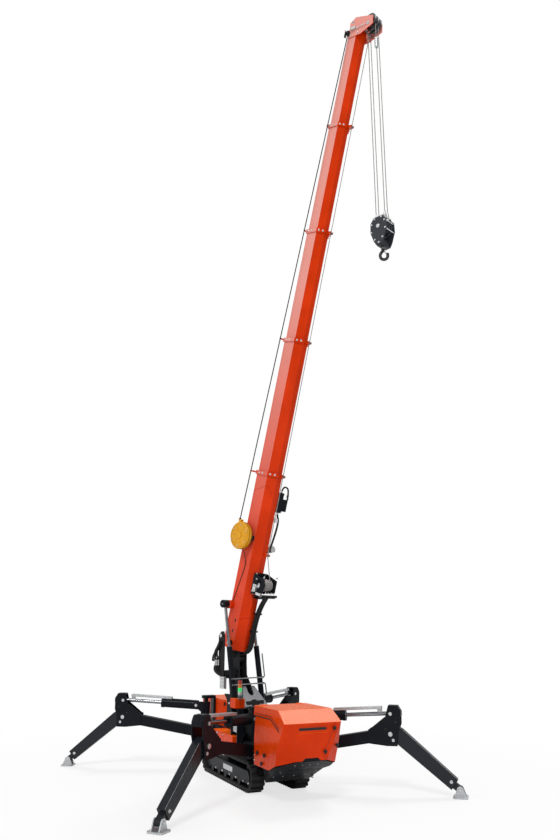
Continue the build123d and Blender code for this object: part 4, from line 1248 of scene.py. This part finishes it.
for s, z in ((0.470, -0.212), (0.210, -0.194)):
    bar(clips, (s - 0.012, s + 0.012), clip_y, (z - 0.022, z - 0.018), boom_frame)
    bar(clips, (s - 0.012, s + 0.012), clip_y, (z + 0.010, z + 0.014), boom_frame)
    bar(clips, (s - 0.006, s + 0.006), (0.000, 0.010), (z, -0.162), boom_frame)
piece("foot_hose_clips", "boom_base", black_enamel, clips, 0.001)
# Painted shade: a thin black sheet in the boom's middle plane at its foot, for the dark inside of the foot.
shade_sheet = bmesh.new()
bar(shade_sheet, (0.110, 0.390), (-0.002, 0.002), (-0.060, 0.050), boom_frame)
piece("foot_shade_sheet", "boom_base", moulded_black, shade_sheet)

# Cable reel and its cable
# A moulded yellow casing with rims and ribs, on a black bracket; its cover is held by zinc screws.
# The thin limit-switch cable runs from its spout to the head through an eyelet on a lug at every collar.

yellow_plastic, wire = new_finish("yellow_plastic", {"Specular IOR Level": 0.3, "Coat Weight": 0.1})
place = surface_place(wire)
cloud = grain(wire, place, 7).between(0.3, 0.7)
cloud.tint((0.66, 0.300, 0.0, 1), (0.74, 0.345, 0.002, 1)).feed("Base Color")
(0.34 + 0.2 * grain(wire, place, 50)).feed("Roughness")
relief(wire, grain(wire, place, 500, 3), 0.0004)

reel_s, reel_y, reel_z = 1.530, 0.285, 0.150
reel_axis = boom_side(reel_s, reel_y, reel_z, -1)
casing_steps = [(0, 0), (0.176, 0), (0.182, -0.006), (0.192, -0.006), (0.200, -0.014), (0.200, -0.076),
                (0.192, -0.084), (0.182, -0.084), (0.176, -0.090), (0, -0.090)]
casing = bmesh.new()
turned(casing, casing_steps, reel_axis, 72)
bar(casing, (1.640, 1.760), (-0.266, -0.214), (reel_z + 0.040, reel_z + 0.086), boom_frame)
rod(casing, 0.040, 0.001, 0.075, boom_frame @ facing((reel_s, -0.230, 0.100), (0, 1, 0)), 32)
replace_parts(piece("reel_casing", "boom_base", yellow_plastic, casing, 0.003), "cable_reel")
ribs = bmesh.new()
turned(ribs, [(0.166, 0), (0.174, 0), (0.174, 0.004), (0.166, 0.004)], reel_axis, 56)
cap(ribs, reel_axis, 0.050, 0.006, 0.044, 0.010, 40)
for step in range(6):
    rib_place = reel_axis @ Matrix.Rotation(math.pi * step / 3, 4, "Z")
    bar(ribs, (0.048, 0.168), (-0.004, 0.004), (0, 0.004), rib_place)
piece("reel_ribs", "boom_base", yellow_plastic, ribs, 0.0012)
screws = bmesh.new()
for x, y in arc(0, 0, 0.155, 30, 330, 5):
    bolt(screws, reel_axis @ Matrix.Translation((x, y, 0)), 0.006)
piece("reel_screws", "boom_base", zinc, screws)
for order, y in enumerate((-0.262, -0.218)):
    rim = [(s, y, z) for s, z in arc(reel_s, reel_z, 0.2012, 0, 360, 48)]
    tube(f"reel_seam_{order}", "boom_base", moulded_black, rim, 0.0022, boom_frame)
bracket_arm = [(-0.235, -0.052), (-0.120, -0.052), (0.040, 0.020), (0.040, 0.070), (-0.060, 0.070),
               (-0.235, -0.005)]
arm_place = boom_frame @ facing((reel_s, 0, 0), (0, 1, 0)) @ Matrix.Rotation(-math.pi / 2, 4, "Z")
bracket = bmesh.new()
bar(bracket, (reel_s - 0.030, reel_s + 0.030), (-0.200, -0.155), (-0.050, 0.060), boom_frame)
plate(bracket, bracket_arm, -0.197, -0.189, arm_place)
bar(bracket, (1.735, 1.775), (-0.262, -0.222), (0.236, 0.246), boom_frame)
piece("reel_bracket", "boom_base", black_enamel, bracket, 0.0015)

cable_radius = 0.0080
cable_start = Vector((1.755, -0.242, 0.240))
cable_end = Vector((9.640, -0.150, 0.105))
eyelet_steps = [(0.005, -0.008), (0.011, -0.008), (0.011, 0.008), (0.005, 0.008), (0.005, -0.008)]
lug_half_length, lug_wall = 0.012, 0.005
cable_points = [cable_start]
for order, s in enumerate(collars):
    middle = s - collar_half_length
    point = cable_start.lerp(cable_end, (middle - cable_start.x) / (cable_end.x - cable_start.x))
    cable_points.append(point)
    wide, top = boom_outline(order, collar_proud)[:2]
    eyelet = bmesh.new()
    turned(eyelet, eyelet_steps, boom_frame @ facing(point, (1, 0, 0)), 20)
    piece(f"cable_eyelet_{order + 1}", boom_bodies[order], moulded_black, eyelet)
    lug_s, lug_y = (middle - lug_half_length, middle + lug_half_length), point.y + 0.004
    lug_z = (top, point.z) if point.z - 0.012 > top else (point.z, top + lug_wall)
    lug = bmesh.new()
    bar(lug, lug_s, (lug_y, -wide + 0.030), (top, top + lug_wall), boom_frame)
    bar(lug, lug_s, (lug_y, lug_y + lug_wall), lug_z, boom_frame)
    piece(f"cable_lug_{order + 1}", boom_bodies[order], orange_enamel, lug, 0.001)
boom_strands("limit_cable", moulded_black, cable_points + [cable_end], cable_radius)
side_cable = [(1.335, -0.210, 0.080), (1.250, -0.175, 0.050), (1.130, -0.160, 0.020), (0.980, -0.160, 0.045),
              (0.800, -0.160, 0.085), (0.620, -0.160, 0.120), (0.560, -0.161, 0.128)]
tube("boom_side_cable", "boom_base", moulded_black, side_cable, 0.0055, boom_frame)

# Work light on the boom's left
# A round black die-cast lamp on an arm, with a fluted glass front, a pale alloy bezel and cooling fins.

lamp_glass, wire = new_finish("lamp_glass", {"Specular IOR Level": 0.5, "Coat Weight": 0.5})
place = surface_place(wire)
flutes = wire.node("ShaderNodeTexWave", {"bands_direction": "X"}, {"Vector": place, "Scale": 45})
flutes.tint((0.42, 0.43, 0.44, 1), (0.72, 0.73, 0.74, 1)).feed("Base Color")
(0.12 + 0.1 * grain(wire, place, 40)).feed("Roughness")
relief(wire, flutes, 0.0012)
lamp_tilt = Matrix.Rotation(-math.radians(20), 4, "Y")
lamp_place = boom_frame @ Matrix.Translation((1.398, 0.225, -0.060)) @ lamp_tilt
housing_steps = [(0, -0.035), (0.048, -0.035), (0.048, 0.020), (0.040, 0.034), (0, 0.038)]
front_steps = [(0, -0.042), (0.030, -0.041), (0.041, -0.036), (0.041, -0.0345), (0, -0.0345)]
bezel_steps = [(0.041, -0.036), (0.050, -0.041), (0.050, -0.024), (0.0478, -0.024), (0.0478, -0.034),
               (0.041, -0.036)]
housing = bmesh.new()
turned(housing, housing_steps, lamp_place, 40)
bar(housing, (1.380, 1.416), (0.150, 0.240), (-0.022, -0.010), boom_frame)
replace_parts(piece("lamp_housing", "boom_base", black_enamel, housing, 0.002), "work_light")
lamp_front = bmesh.new()
turned(lamp_front, front_steps, lamp_place, 40)
piece("lamp_front", "boom_base", lamp_glass, lamp_front)
bezel = bmesh.new()
turned(bezel, bezel_steps, lamp_place, 40)
for step in range(5):
    low, high = 0.006 * step - 0.002, 0.006 * step + 0.001
    turned(bezel, [(0.046, low), (0.0505, low), (0.0505, high), (0.046, high)], lamp_place, 40)
piece("lamp_bezel", "boom_base", pale_alloy, bezel)

# Hose block on the boom's left keel
# A black two-step manifold bolted to the keel, with zinc unions; rubber hoses run back and loop over it.

keel_lean = math.atan2(boom_knuckle + boom_half_height, boom_half_width - boom_floor)
block_place = boom_frame @ Matrix.Translation((1.960, 0.104, -0.1125)) @ Matrix.Rotation(keel_lean, 4, "X")
block_length, block_depth, union_y, block_union_z = 0.300, -0.080, 0.022, -0.040
top_union = [(0, 0), (0.022, 0), (0.022, 0.014), (0.016, 0.016), (0.016, 0.026), (0, 0.026)]
end_union = [(0, 0), (0.015, 0), (0.015, 0.018), (0.011, 0.020), (0.011, 0.030), (0, 0.030)]
manifold = bmesh.new()
bar(manifold, (0, block_length), (-0.070, 0.070), (block_depth, 0.002), block_place)
bar(manifold, (0.030, 0.210), (-0.060, 0.060), (-0.150, block_depth), block_place)
piece("hose_manifold", "boom_base", black_enamel, manifold, 0.004)
unions = bmesh.new()
for share in (0.70, 0.88):
    union_place = block_place @ facing((block_length * share, 0, -0.118), (0, 0, -1), (1, 0, 0))
    turned(unions, top_union, union_place, 6)
for y in (-0.030, 0.030):
    for x in (0.020, 0.280):
        bolt(unions, block_place @ facing((x, y, block_depth), (0, 0, -1), (1, 0, 0)), 0.008)
for x, outward in ((0, -1), (block_length, 1)):
    for y in (-union_y, union_y):
        turned(unions, end_union, block_place @ facing((x, y, block_union_z), (outward, 0, 0)), 6)
bar(unions, (-0.150, -0.090), (-0.045, 0.045), (-0.062, -0.004), block_place)
piece("hose_block_unions", "boom_base", zinc, unions, 0.001)
for order, y in enumerate((-union_y, union_y)):
    back_route = [(-0.028, y, block_union_z), (-0.070, y, -0.046), (-0.100, y, -0.070),
                  (-0.250, y + 0.01, -0.070), (-0.420, y + 0.035, -0.050),
                  (-0.560, y + 0.050, -0.030), (-0.620, y + 0.050, -0.012)]
    tube(f"block_hose_{order}", "boom_base", rubber_hose, back_route, 0.0150, block_place)
    loop_route = [(0.328, y, block_union_z), (0.370, y, -0.045), (0.400, y, -0.080), (0.375, y, -0.125),
                  (0.320, y, -0.135), (block_length * (0.70 + 0.18 * order), y / 2, -0.146)]
    tube(f"block_loop_{order}", "boom_base", rubber_hose, loop_route, 0.0125, block_place)

# Boom head
# Two orange plates carry the head's rope wheels, which are machined steel, dark with grease in the grooves.
# The limit switch sits on the right plate, where the thin cable ends.

dress(oiled_steel, "head_sheaves")
head_y = 0.127
head_bolts = [(9.620, 0.070), (9.620, -0.080), (9.760, 0.085), (9.700, -0.040)]
bore_ring = [(0.0130, 0), (0.024, 0), (0.024, 0.004), (0.022, 0.005), (0.0130, 0.005)]
fittings = bmesh.new()
for side in (1, -1):
    for s, z in head_bolts:
        bolt(fittings, boom_side(s, head_y, z, side), 0.010)
    axle = boom_side(9.720, head_y, -0.270, side)
    cap(fittings, axle, 0.030, 0.006, 0.026, 0.010, 32)
    bolt(fittings, axle @ Matrix.Translation((0, 0, 0.010)), 0.010)
    turned(fittings, bore_ring, boom_side(9.840, head_y, 0.060, side), 32)
piece("head_pins", "boom_section_5", zinc, fittings)
switch = bmesh.new()
bar(switch, (9.630, 9.690), (-0.170, -head_y), (0.085, 0.140), boom_frame)
bar(switch, (9.600, 9.632), (-0.158, -0.142), (0.095, 0.115), boom_frame)
bar(switch, (9.560, 9.660), (-0.205, -0.165), (0.118, 0.128), boom_frame)
piece("limit_switch", "boom_section_5", moulded_black, switch, 0.002)
levers = bmesh.new()
for s in (9.640, 9.680):
    bolt(levers, on_boom(s, -0.150, 0.140, (0, 0, 1)), 0.006)
bar(levers, (9.655, 9.665), (-0.230, -0.165), (0.112, 0.118), boom_frame)
bar(levers, (9.690, 9.735), (-0.160, -0.130), (-0.030, 0.060), boom_frame)
bar(levers, (9.700, 9.712), (-0.150, -0.140), (-0.230, -0.020), boom_frame)
piece("limit_switch_levers", "boom_section_5", pale_alloy, levers, 0.0015)
spacers = bmesh.new()
for s, z in ((9.800, -0.020), (9.860, 0.020), (9.650, -0.185)):
    rod(spacers, 0.014, 0, 0.230, on_boom(s, -0.115, z, (0, 1, 0)))
piece("head_spacers", "boom_section_5", oiled_steel, spacers)


def rope_wheel(mesh, steps, place):
    """Adds a grooved wheel: steps from its hub to the groove's floor, alike on both faces."""
    back = [(radius, -height) for radius, height in reversed(steps)]
    turned(mesh, steps + back, place, 48)


head_wheel = [(0, -0.016), (0.060, -0.012), (0.106, -0.016), (0.110, -0.014), (0.094, -0.004)]
wheels = bmesh.new()
for y in (-0.075, 0, 0.075):
    rope_wheel(wheels, head_wheel, on_boom(9.800, y, -0.255, (0, 1, 0)))
piece("head_guide_wheels", "boom_section_5", oiled_steel, wheels)

# Hoist falls and hook block
# Four falls of wire rope hang plumb from the head into alloy sockets; a galvanised weight slides on one.
# The block's two cheeks are slate enamel, with three forged wheels on one axle between them.

galvanised = bright_metal("galvanised", (0.40, 0.42, 0.43, 1), (0.66, 0.68, 0.69, 1), rough=0.38, spread=0.22)
slate_enamel = enamel("slate_enamel", (0.026, 0.030, 0.037), (0.12, 0.12, 0.12, 1),
                      gloss=0.35, peel=0.0006, shine=0.2, coat=0.05)
forged = bright_metal("forged_steel", (0.030, 0.033, 0.038, 1), (0.070, 0.074, 0.080, 1),
                      rough=0.42, spread=0.2)
dress(galvanised, "limit_weight")
hook_frame = heading @ Matrix.Translation((2.5577, 0, 0))
fall_top, fall_break, fall_end, fall_radius = 11.074, 10.560, 7.690, 0.0062
fall_x, fall_y = 0.075, 0.035
falls = [(x, y) for x in (-fall_x, fall_x) for y in (-fall_y, fall_y)]
fall_ends = bmesh.new()
for order, (x, y) in enumerate(falls):
    rod(fall_ends, fall_radius, fall_break, fall_top, hook_frame @ Matrix.Translation((x, y, 0)), 12)
    ends = ((x, y, fall_break), (x, y, fall_end))
    strand(f"hoist_fall_{order + 1}", wire_rope, ends, fall_radius, ["hoist_falls", "hook_block"], hook_frame)
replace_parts(piece("hoist_fall_ends", "hoist_falls", wire_rope, fall_ends), "hoist_ropes")

block_axle_z, block_inner, block_outer = 7.455, 0.094, 0.108
right_edge = [(0.075, 7.605), (0.132, 7.530), (0.138, 7.385), (0.085, 7.230), (0.048, 7.165)]
block_cheek = right_edge + [(-x, z) for x, z in reversed(right_edge)]
block = bmesh.new()
twin(block, block_cheek, block_inner, block_outer, hook_frame @ Matrix.Rotation(math.pi / 2, 4, "X"))
bar(block, (-0.046, 0.046), (-block_inner, block_inner), (7.155, 7.235), hook_frame)
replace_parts(piece("hook_block_cheeks", "hook_block", slate_enamel, block, 0.002), "hook_block")
block_wheel = [(0, -0.022), (0.050, -0.018), (0.112, -0.024), (0.118, -0.022), (0.100, -0.006)]
wheels = bmesh.new()
for y in (-0.058, 0, 0.058):
    rope_wheel(wheels, block_wheel, hook_frame @ facing((0, y, block_axle_z), (0, 1, 0)))
piece("hook_block_wheels", "hook_block", forged, wheels)
axle_steps = [(0, 0), (0.030, 0), (0.030, 0.006), (0.025, 0.012), (0.012, 0.012), (0.010, 0.016), (0, 0.016)]
block_bolts = [(end * x, z) for x, z in ((0.110, 0.055), (0.118, -0.070), (0.066, -0.200), (0.058, 0.128))
               for end in (-1, 1)] + [(0, -0.262)]
fittings = bmesh.new()
for side in (1, -1):
    wall = beside(hook_frame, 0, block_outer, block_axle_z, side)
    turned(fittings, axle_steps, wall, 36)
    for x, z in block_bolts:
        bolt(fittings, wall @ Matrix.Translation((x, z, 0)), 0.009)
piece("hook_block_axle", "hook_block", zinc, fittings)
socket_steps = [(0, 7.560), (0.016, 7.560), (0.020, 7.620), (0.016, 7.690), (0.0065, 7.694), (0, 7.694)]
rope_sockets = bmesh.new()
for x in (-0.122, 0.122):
    for z in (0.060, -0.080):
        socket_axis = hook_frame @ facing((x, 0, block_axle_z + z), (0, 1, 0))
        rod(rope_sockets, 0.009, -block_inner, block_inner, socket_axis, 16)
for x, y in falls:
    turned(rope_sockets, socket_steps, hook_frame @ Matrix.Translation((x, y, 0)), 16)
for x in (-fall_x, fall_x):
    bar(rope_sockets, (x - 0.012, x + 0.012), (-block_outer, block_outer), (7.596, 7.616), hook_frame)
piece("rope_sockets", "hook_block", pale_alloy, rope_sockets, 0.001)

# Hook
# A forged steel hook that swivels under the block, turned to show its throat, with a collar and a sprung latch.

hook_turn = hook_frame @ Matrix.Rotation(math.radians(44), 4, "Z")
hook_route = [(0, 7.150), (0, 7.105), (-0.030, 7.075), (-0.054, 7.030), (-0.046, 6.980), (-0.006, 6.955),
              (0.040, 6.972), (0.060, 7.015), (0.054, 7.058)]
hook = solid_run("forged_hook", forged, [(x, 0, z) for x, z in hook_route], 0.0215, hook_turn)
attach(hook, "hook")
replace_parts(hook, "hook")
collar = bmesh.new()
turned(collar, [(0, 7.118), (0.032, 7.118), (0.036, 7.124), (0.036, 7.154), (0, 7.154)], hook_frame, 32)
piece("hook_collar", "hook", oiled_steel, collar)
latch_root, latch_tip = Vector((0.008, 0, 7.096)), Vector((0.052, 0, 7.040))
latch_reach = latch_tip - latch_root
latch = bmesh.new()
latch_place = hook_turn @ facing(latch_root, latch_reach, (0, 1, 0))
bar(latch, (-0.006, 0.006), (-0.014, 0.014), (0, latch_reach.length), latch_place)
piece("hook_latch", "hook", zinc, latch, 0.001)

# Outrigger legs
# Four alike, of welded steel in black enamel: a swinging post, a box arm, a lower leg and a pad, on zinc pins.
# Each cylinder's chromed rod runs under a galvanised guard; thin zinc strips along the lower leg's upper edges
# are painted highlights.

# Painted light: a lighter, bluer copy of the black enamel for the lower legs, for the light their faces catch.
lit_leg_enamel = enamel("lit_leg_enamel", (0.010, 0.0125, 0.0165), (0.035, 0.040, 0.046, 1),
                    gloss=0.24, peel=0.0005, shine=0.22, coat=0.08)


def upright(x, z, slope=0.0):
    """Place in a leg's upright plane: X out along the leg, Y up and Z across it, turned by a slope."""
    return Matrix.Translation((x, 0, z)) @ Matrix.Rotation(math.pi / 2, 4, "X") @ Matrix.Rotation(slope, 4, "Z")


def across(mesh, radius, point, low, high, place, sides=32):
    """Adds a round bar across a leg at a point of its upright plane, with a small chamfer at its ends."""
    edge = min(0.15 * radius, 0.003)
    steps = [(0, low), (radius - edge, low), (radius, low + edge),
             (radius, high - edge), (radius - edge, high), (0, high)]
    turned(mesh, steps, place @ upright(point.x, point.z), sides)


def span(start, end):
    """Length and slope of a line in a leg's upright plane."""
    reach = end - start
    return reach.length, math.atan2(reach.z, reach.x)


def leg_piece(what, body, leg_name, finish, mesh, soften=0.0, stands=False):
    """Makes a piece of one leg; where it stands for a CAD node, that has the name of its body."""
    made = piece(f"{what}_{leg_name}", f"{body}_{leg_name}", finish, mesh, soften)
    if stands:
        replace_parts(made, f"{body}_{leg_name}")


post_low, post_high, post_radius, kingpin_radius = 0.425, 0.905, 0.060, 0.021
post_plate = (0.075, 0.087)
post_outline = [(0.020, 0.430), (0.150, 0.430), (0.175, 0.480), (0.175, 0.590), (0.140, 0.640), (0.066, 0.690),
                (0.066, 0.770), (0.110, 0.805), (0.180, 0.818), (0.190, 0.870), (0.165, 0.900), (0.020, 0.900)]
post_pin_reach = 0.097
arm_pin, arm_pin_radius = Vector((0.120, 0, 0.550)), 0.024
arm_root = Vector((0.120, 0, 0.490))
arm_half_width, arm_half_height, arm_start, arm_stop = 0.066, 0.070, 0.020, 0.140
knee, knee_pin_radius = Vector((1.260, 0, 0.690)), 0.028
knee_plate = (0.066, 0.080)
knee_points = [(-0.285, -0.118), (-0.050, -0.140), (0.085, -0.138), (0.092, 0.010), (0.130, 0.116),
               (0.132, 0.265), (0.092, 0.328), (-0.020, 0.328), (-0.057, 0.206),
               (-0.250, 0.060), (-0.282, 0.045)]
knee_cap = [(-0.020, 0.320), (0.088, 0.320), (0.124, 0.263), (0.124, 0.210), (0.140, 0.210), (0.140, 0.267),
            (0.096, 0.336), (-0.020, 0.336)]
knee_holes = [Vector((-0.060, 0, 0.058)), Vector((0.071, 0, 0.144))]
knee_hole_radius = 0.014
lock_pin, lock_pin_radius = Vector((0.033, 0, -0.070)), 0.019
cylinder_pin, cylinder_pin_radius = Vector((0.140, 0, 0.860)), 0.022
rod_eye, eye_radius = Vector((1.268, 0, 0.927)), 0.040
barrel_radius, barrel_length, gland_radius, gland_length = 0.066, 0.545, 0.071, 0.040
rod_radius, rod_hidden = 0.025, 0.150
guard_start, guard_stop, guard_offset, guard_thickness, guard_half_width = 0.390, 0.110, 0.078, 0.014, 0.040
ankle, ankle_pin_radius = Vector((2.072, 0, 0.088)), 0.016
lower_half_width, lower_stop = 0.053, 0.081
lower_knee = [(0.080, 0.135), (-0.020, 0.110), (-0.070, 0.050), (-0.070, -0.030), (-0.040, -0.055),
              (0.150, -0.048)]
tongue_radius, tongue_half_width = 0.038, 0.040
pad_half, pad_corner, pad_thickness = (0.088, 0.098), 0.028, 0.018
ear_half_length, ear_radius, ear_plate = 0.075, 0.042, (0.042, 0.056)
ear_outline = [(-ear_half_length, 0.009), (ear_half_length, 0.009), (0.9 * ear_radius, ankle.z + 0.012),
               *arc(0, ankle.z, ear_radius, 15, 165, 8), (-0.9 * ear_radius, ankle.z + 0.012)]
pad_outline = []
for quarter, (x, y) in enumerate(((1, 1), (-1, 1), (-1, -1), (1, -1))):
    pad_outline += arc(x * (pad_half[0] - pad_corner), y * (pad_half[1] - pad_corner), pad_corner,
                       90 * quarter, 90 * quarter + 90, 6)
arm_length, arm_slope = span(arm_root, knee)
cylinder_length, cylinder_slope = span(cylinder_pin, rod_eye)
lower_length, lower_slope = span(knee, ankle)
lower_end = lower_length - lower_stop
lower_outline = [(lower_end, -0.062), (lower_end, 0.080)] + lower_knee
guard_end = cylinder_length - guard_stop
gland_start = barrel_length - gland_length
bore = rod_radius + 0.0005
barrel_steps = [(0, -0.045), (0.040, -0.040), (barrel_radius, -0.020), (barrel_radius, gland_start),
                (gland_radius, gland_start), (gland_radius, barrel_length - 0.003),
                (gland_radius - 0.003, barrel_length), (bore, barrel_length), (bore, 0.060)]
arm_end = arm_length - arm_stop
arm_box = [(arm_start, -arm_half_height), (arm_end, -arm_half_height), (arm_end, arm_half_height),
           (arm_start, arm_half_height)]
# Painted highlight: a thin strip along each upper edge of the lower leg, for the light on those edges.
edge_highlight_strip = [(0.100, 0.1335), (lower_end - 0.005, 0.0800), (lower_end - 0.005, 0.0815), (0.100, 0.1350)]
post_steps = [(kingpin_radius, post_low), (post_radius, post_low), (post_radius, post_high),
              (kingpin_radius, post_high), (kingpin_radius, post_low)]

leg_roots = {"front_left": (0.760, 0.300), "front_right": (0.760, -0.300),
             "rear_left": (-1.138, 0.300), "rear_right": (-1.138, -0.300)}
foot_x = 2.111
for name, (root_x, root_y) in leg_roots.items():
    spread = math.acos((foot_x - abs(root_x)) / ankle.x)
    turn = math.copysign(spread if root_x > 0 else math.pi - spread, root_y)
    leg = machine @ Matrix.Translation((root_x, root_y, 0)) @ Matrix.Rotation(turn, 4, "Z")
    at_knee = leg @ upright(knee.x, knee.z)
    thrust = leg @ upright(cylinder_pin.x, cylinder_pin.z, cylinder_slope)
    along_rod = thrust @ Matrix.Rotation(math.pi / 2, 4, "Y")
    shin = leg @ upright(knee.x, knee.z, lower_slope)
    standing = leg @ Matrix.Translation((ankle.x, 0, 0))

    post = bmesh.new()
    turned(post, post_steps, leg, 40)
    bar(post, (0.010, 0.054), (-post_plate[1], post_plate[1]), (0.450, 0.895), leg)
    twin(post, post_outline, *post_plate, leg @ upright(0, 0))
    leg_piece("swing_post", "leg_post", name, black_enamel, post, 0.003, stands=True)
    pins = bmesh.new()
    for pin, radius in ((arm_pin, arm_pin_radius), (cylinder_pin, cylinder_pin_radius)):
        across(pins, radius, pin, -post_pin_reach, post_pin_reach, leg)
        for end in (1, -1):
            low = end * post_pin_reach - 0.003
            rod(pins, 0.010, low, low + 0.006, leg @ upright(pin.x, pin.z), 6)
    leg_piece("post_pins", "leg_post", name, zinc, pins)

    arm = bmesh.new()
    across(arm, 0.050, arm_pin, -0.070, 0.070, leg)
    plate(arm, arm_box, -arm_half_width, arm_half_width, leg @ upright(arm_root.x, arm_root.z, arm_slope))
    twin(arm, knee_points, *knee_plate, at_knee)
    plate(arm, knee_cap, -arm_half_width, arm_half_width, at_knee)
    leg_piece("arm", "leg_arm", name, black_enamel, arm, 0.003, stands=True)
    # Painted shade: the knee plates' holes are black plugs for their dark insides.
    holes = bmesh.new()
    for hole in knee_holes:
        for end in (1, -1):
            low, high = sorted((end * knee_plate[0], end * (knee_plate[1] + 0.0006)))
            across(holes, knee_hole_radius, knee + hole, low, high, leg, 24)
    leg_piece("knee_holes", "leg_arm", name, moulded_black, holes)
    pins = bmesh.new()
    for pin, radius, reach in ((knee, knee_pin_radius, 0.095), (knee + lock_pin, lock_pin_radius, 0.090),
                               (rod_eye, cylinder_pin_radius, 0.093)):
        across(pins, radius, pin, -reach, reach, leg)
    leg_piece("knee_pins", "leg_arm", name, zinc, pins)

    barrel = bmesh.new()
    turned(barrel, barrel_steps, along_rod, 40)
    across(barrel, eye_radius, cylinder_pin, -0.060, 0.060, leg)
    leg_piece("cylinder_barrel", "leg_barrel", name, black_enamel, barrel, 0.002, stands=True)
    cylinder_rod = bmesh.new()
    rod(cylinder_rod, rod_radius, barrel_length - rod_hidden, cylinder_length, along_rod, 32)
    leg_piece("cylinder_rod", "leg_rod", name, hard_chrome, cylinder_rod, stands=True)
    guard = bmesh.new()
    bar(guard, (guard_start, guard_end), (guard_offset, guard_offset + guard_thickness),
        (-guard_half_width, guard_half_width), thrust)
    for end in (1, -1):
        flange = sorted((end * guard_half_width, end * (guard_half_width - 0.006)))
        bar(guard, (guard_start, guard_end), (guard_offset - 0.020, guard_offset), flange, thrust)
    bar(guard, (guard_end - 0.060, guard_end), (0, guard_offset), (-0.012, 0.012), thrust)
    leg_piece("rod_guard", "leg_rod", name, galvanised, guard, 0.003)
    eye = bmesh.new()
    across(eye, eye_radius, rod_eye, -0.059, 0.059, leg)
    leg_piece("rod_end", "leg_rod", name, black_enamel, eye)

    lower = bmesh.new()
    plate(lower, lower_outline, -lower_half_width, lower_half_width, shin)
    bar(lower, (lower_end - tongue_radius, lower_length), (-tongue_radius, tongue_radius),
        (-tongue_half_width, tongue_half_width), shin)
    across(lower, tongue_radius, ankle, -tongue_half_width, tongue_half_width, leg)
    leg_piece("lower_leg", "leg_lower", name, lit_leg_enamel, lower, 0.005, stands=True)
    # Painted highlight strips along the lower leg's upper edges, together with the zinc bolts.
    highlight_strips_and_bolts = bmesh.new()
    twin(highlight_strips_and_bolts, edge_highlight_strip, lower_half_width - 0.006, lower_half_width - 0.0025, shin)
    for end, tilt in ((1, 0), (-1, math.pi)):
        spot = shin @ Matrix.Translation((lower_end - 0.050, 0.012, end * lower_half_width))
        bolt(highlight_strips_and_bolts, spot @ Matrix.Rotation(tilt, 4, "X"), 0.012)
    leg_piece("lower_leg_highlight_strips_and_bolts", "leg_lower", name, zinc, highlight_strips_and_bolts)
    if name == "front_right":
        marker = bmesh.new()
        marker_sides = (lower_half_width - 0.002, lower_half_width + 0.026)
        bar(marker, (0.660, 0.770), (-0.010, 0.060), marker_sides, shin)
        piece("lower_leg_marker", f"leg_lower_{name}", orange_enamel, marker, 0.004)

    pad = bmesh.new()
    plate(pad, pad_outline, 0, pad_thickness, standing)
    twin(pad, ear_outline, *ear_plate, standing @ upright(0, 0))
    leg_piece("pad", "foot", name, galvanised, pad, 0.002, stands=True)
    pins = bmesh.new()
    across(pins, ankle_pin_radius, ankle, -0.066, 0.066, leg)
    leg_piece("ankle_pin", "foot", name, zinc, pins)
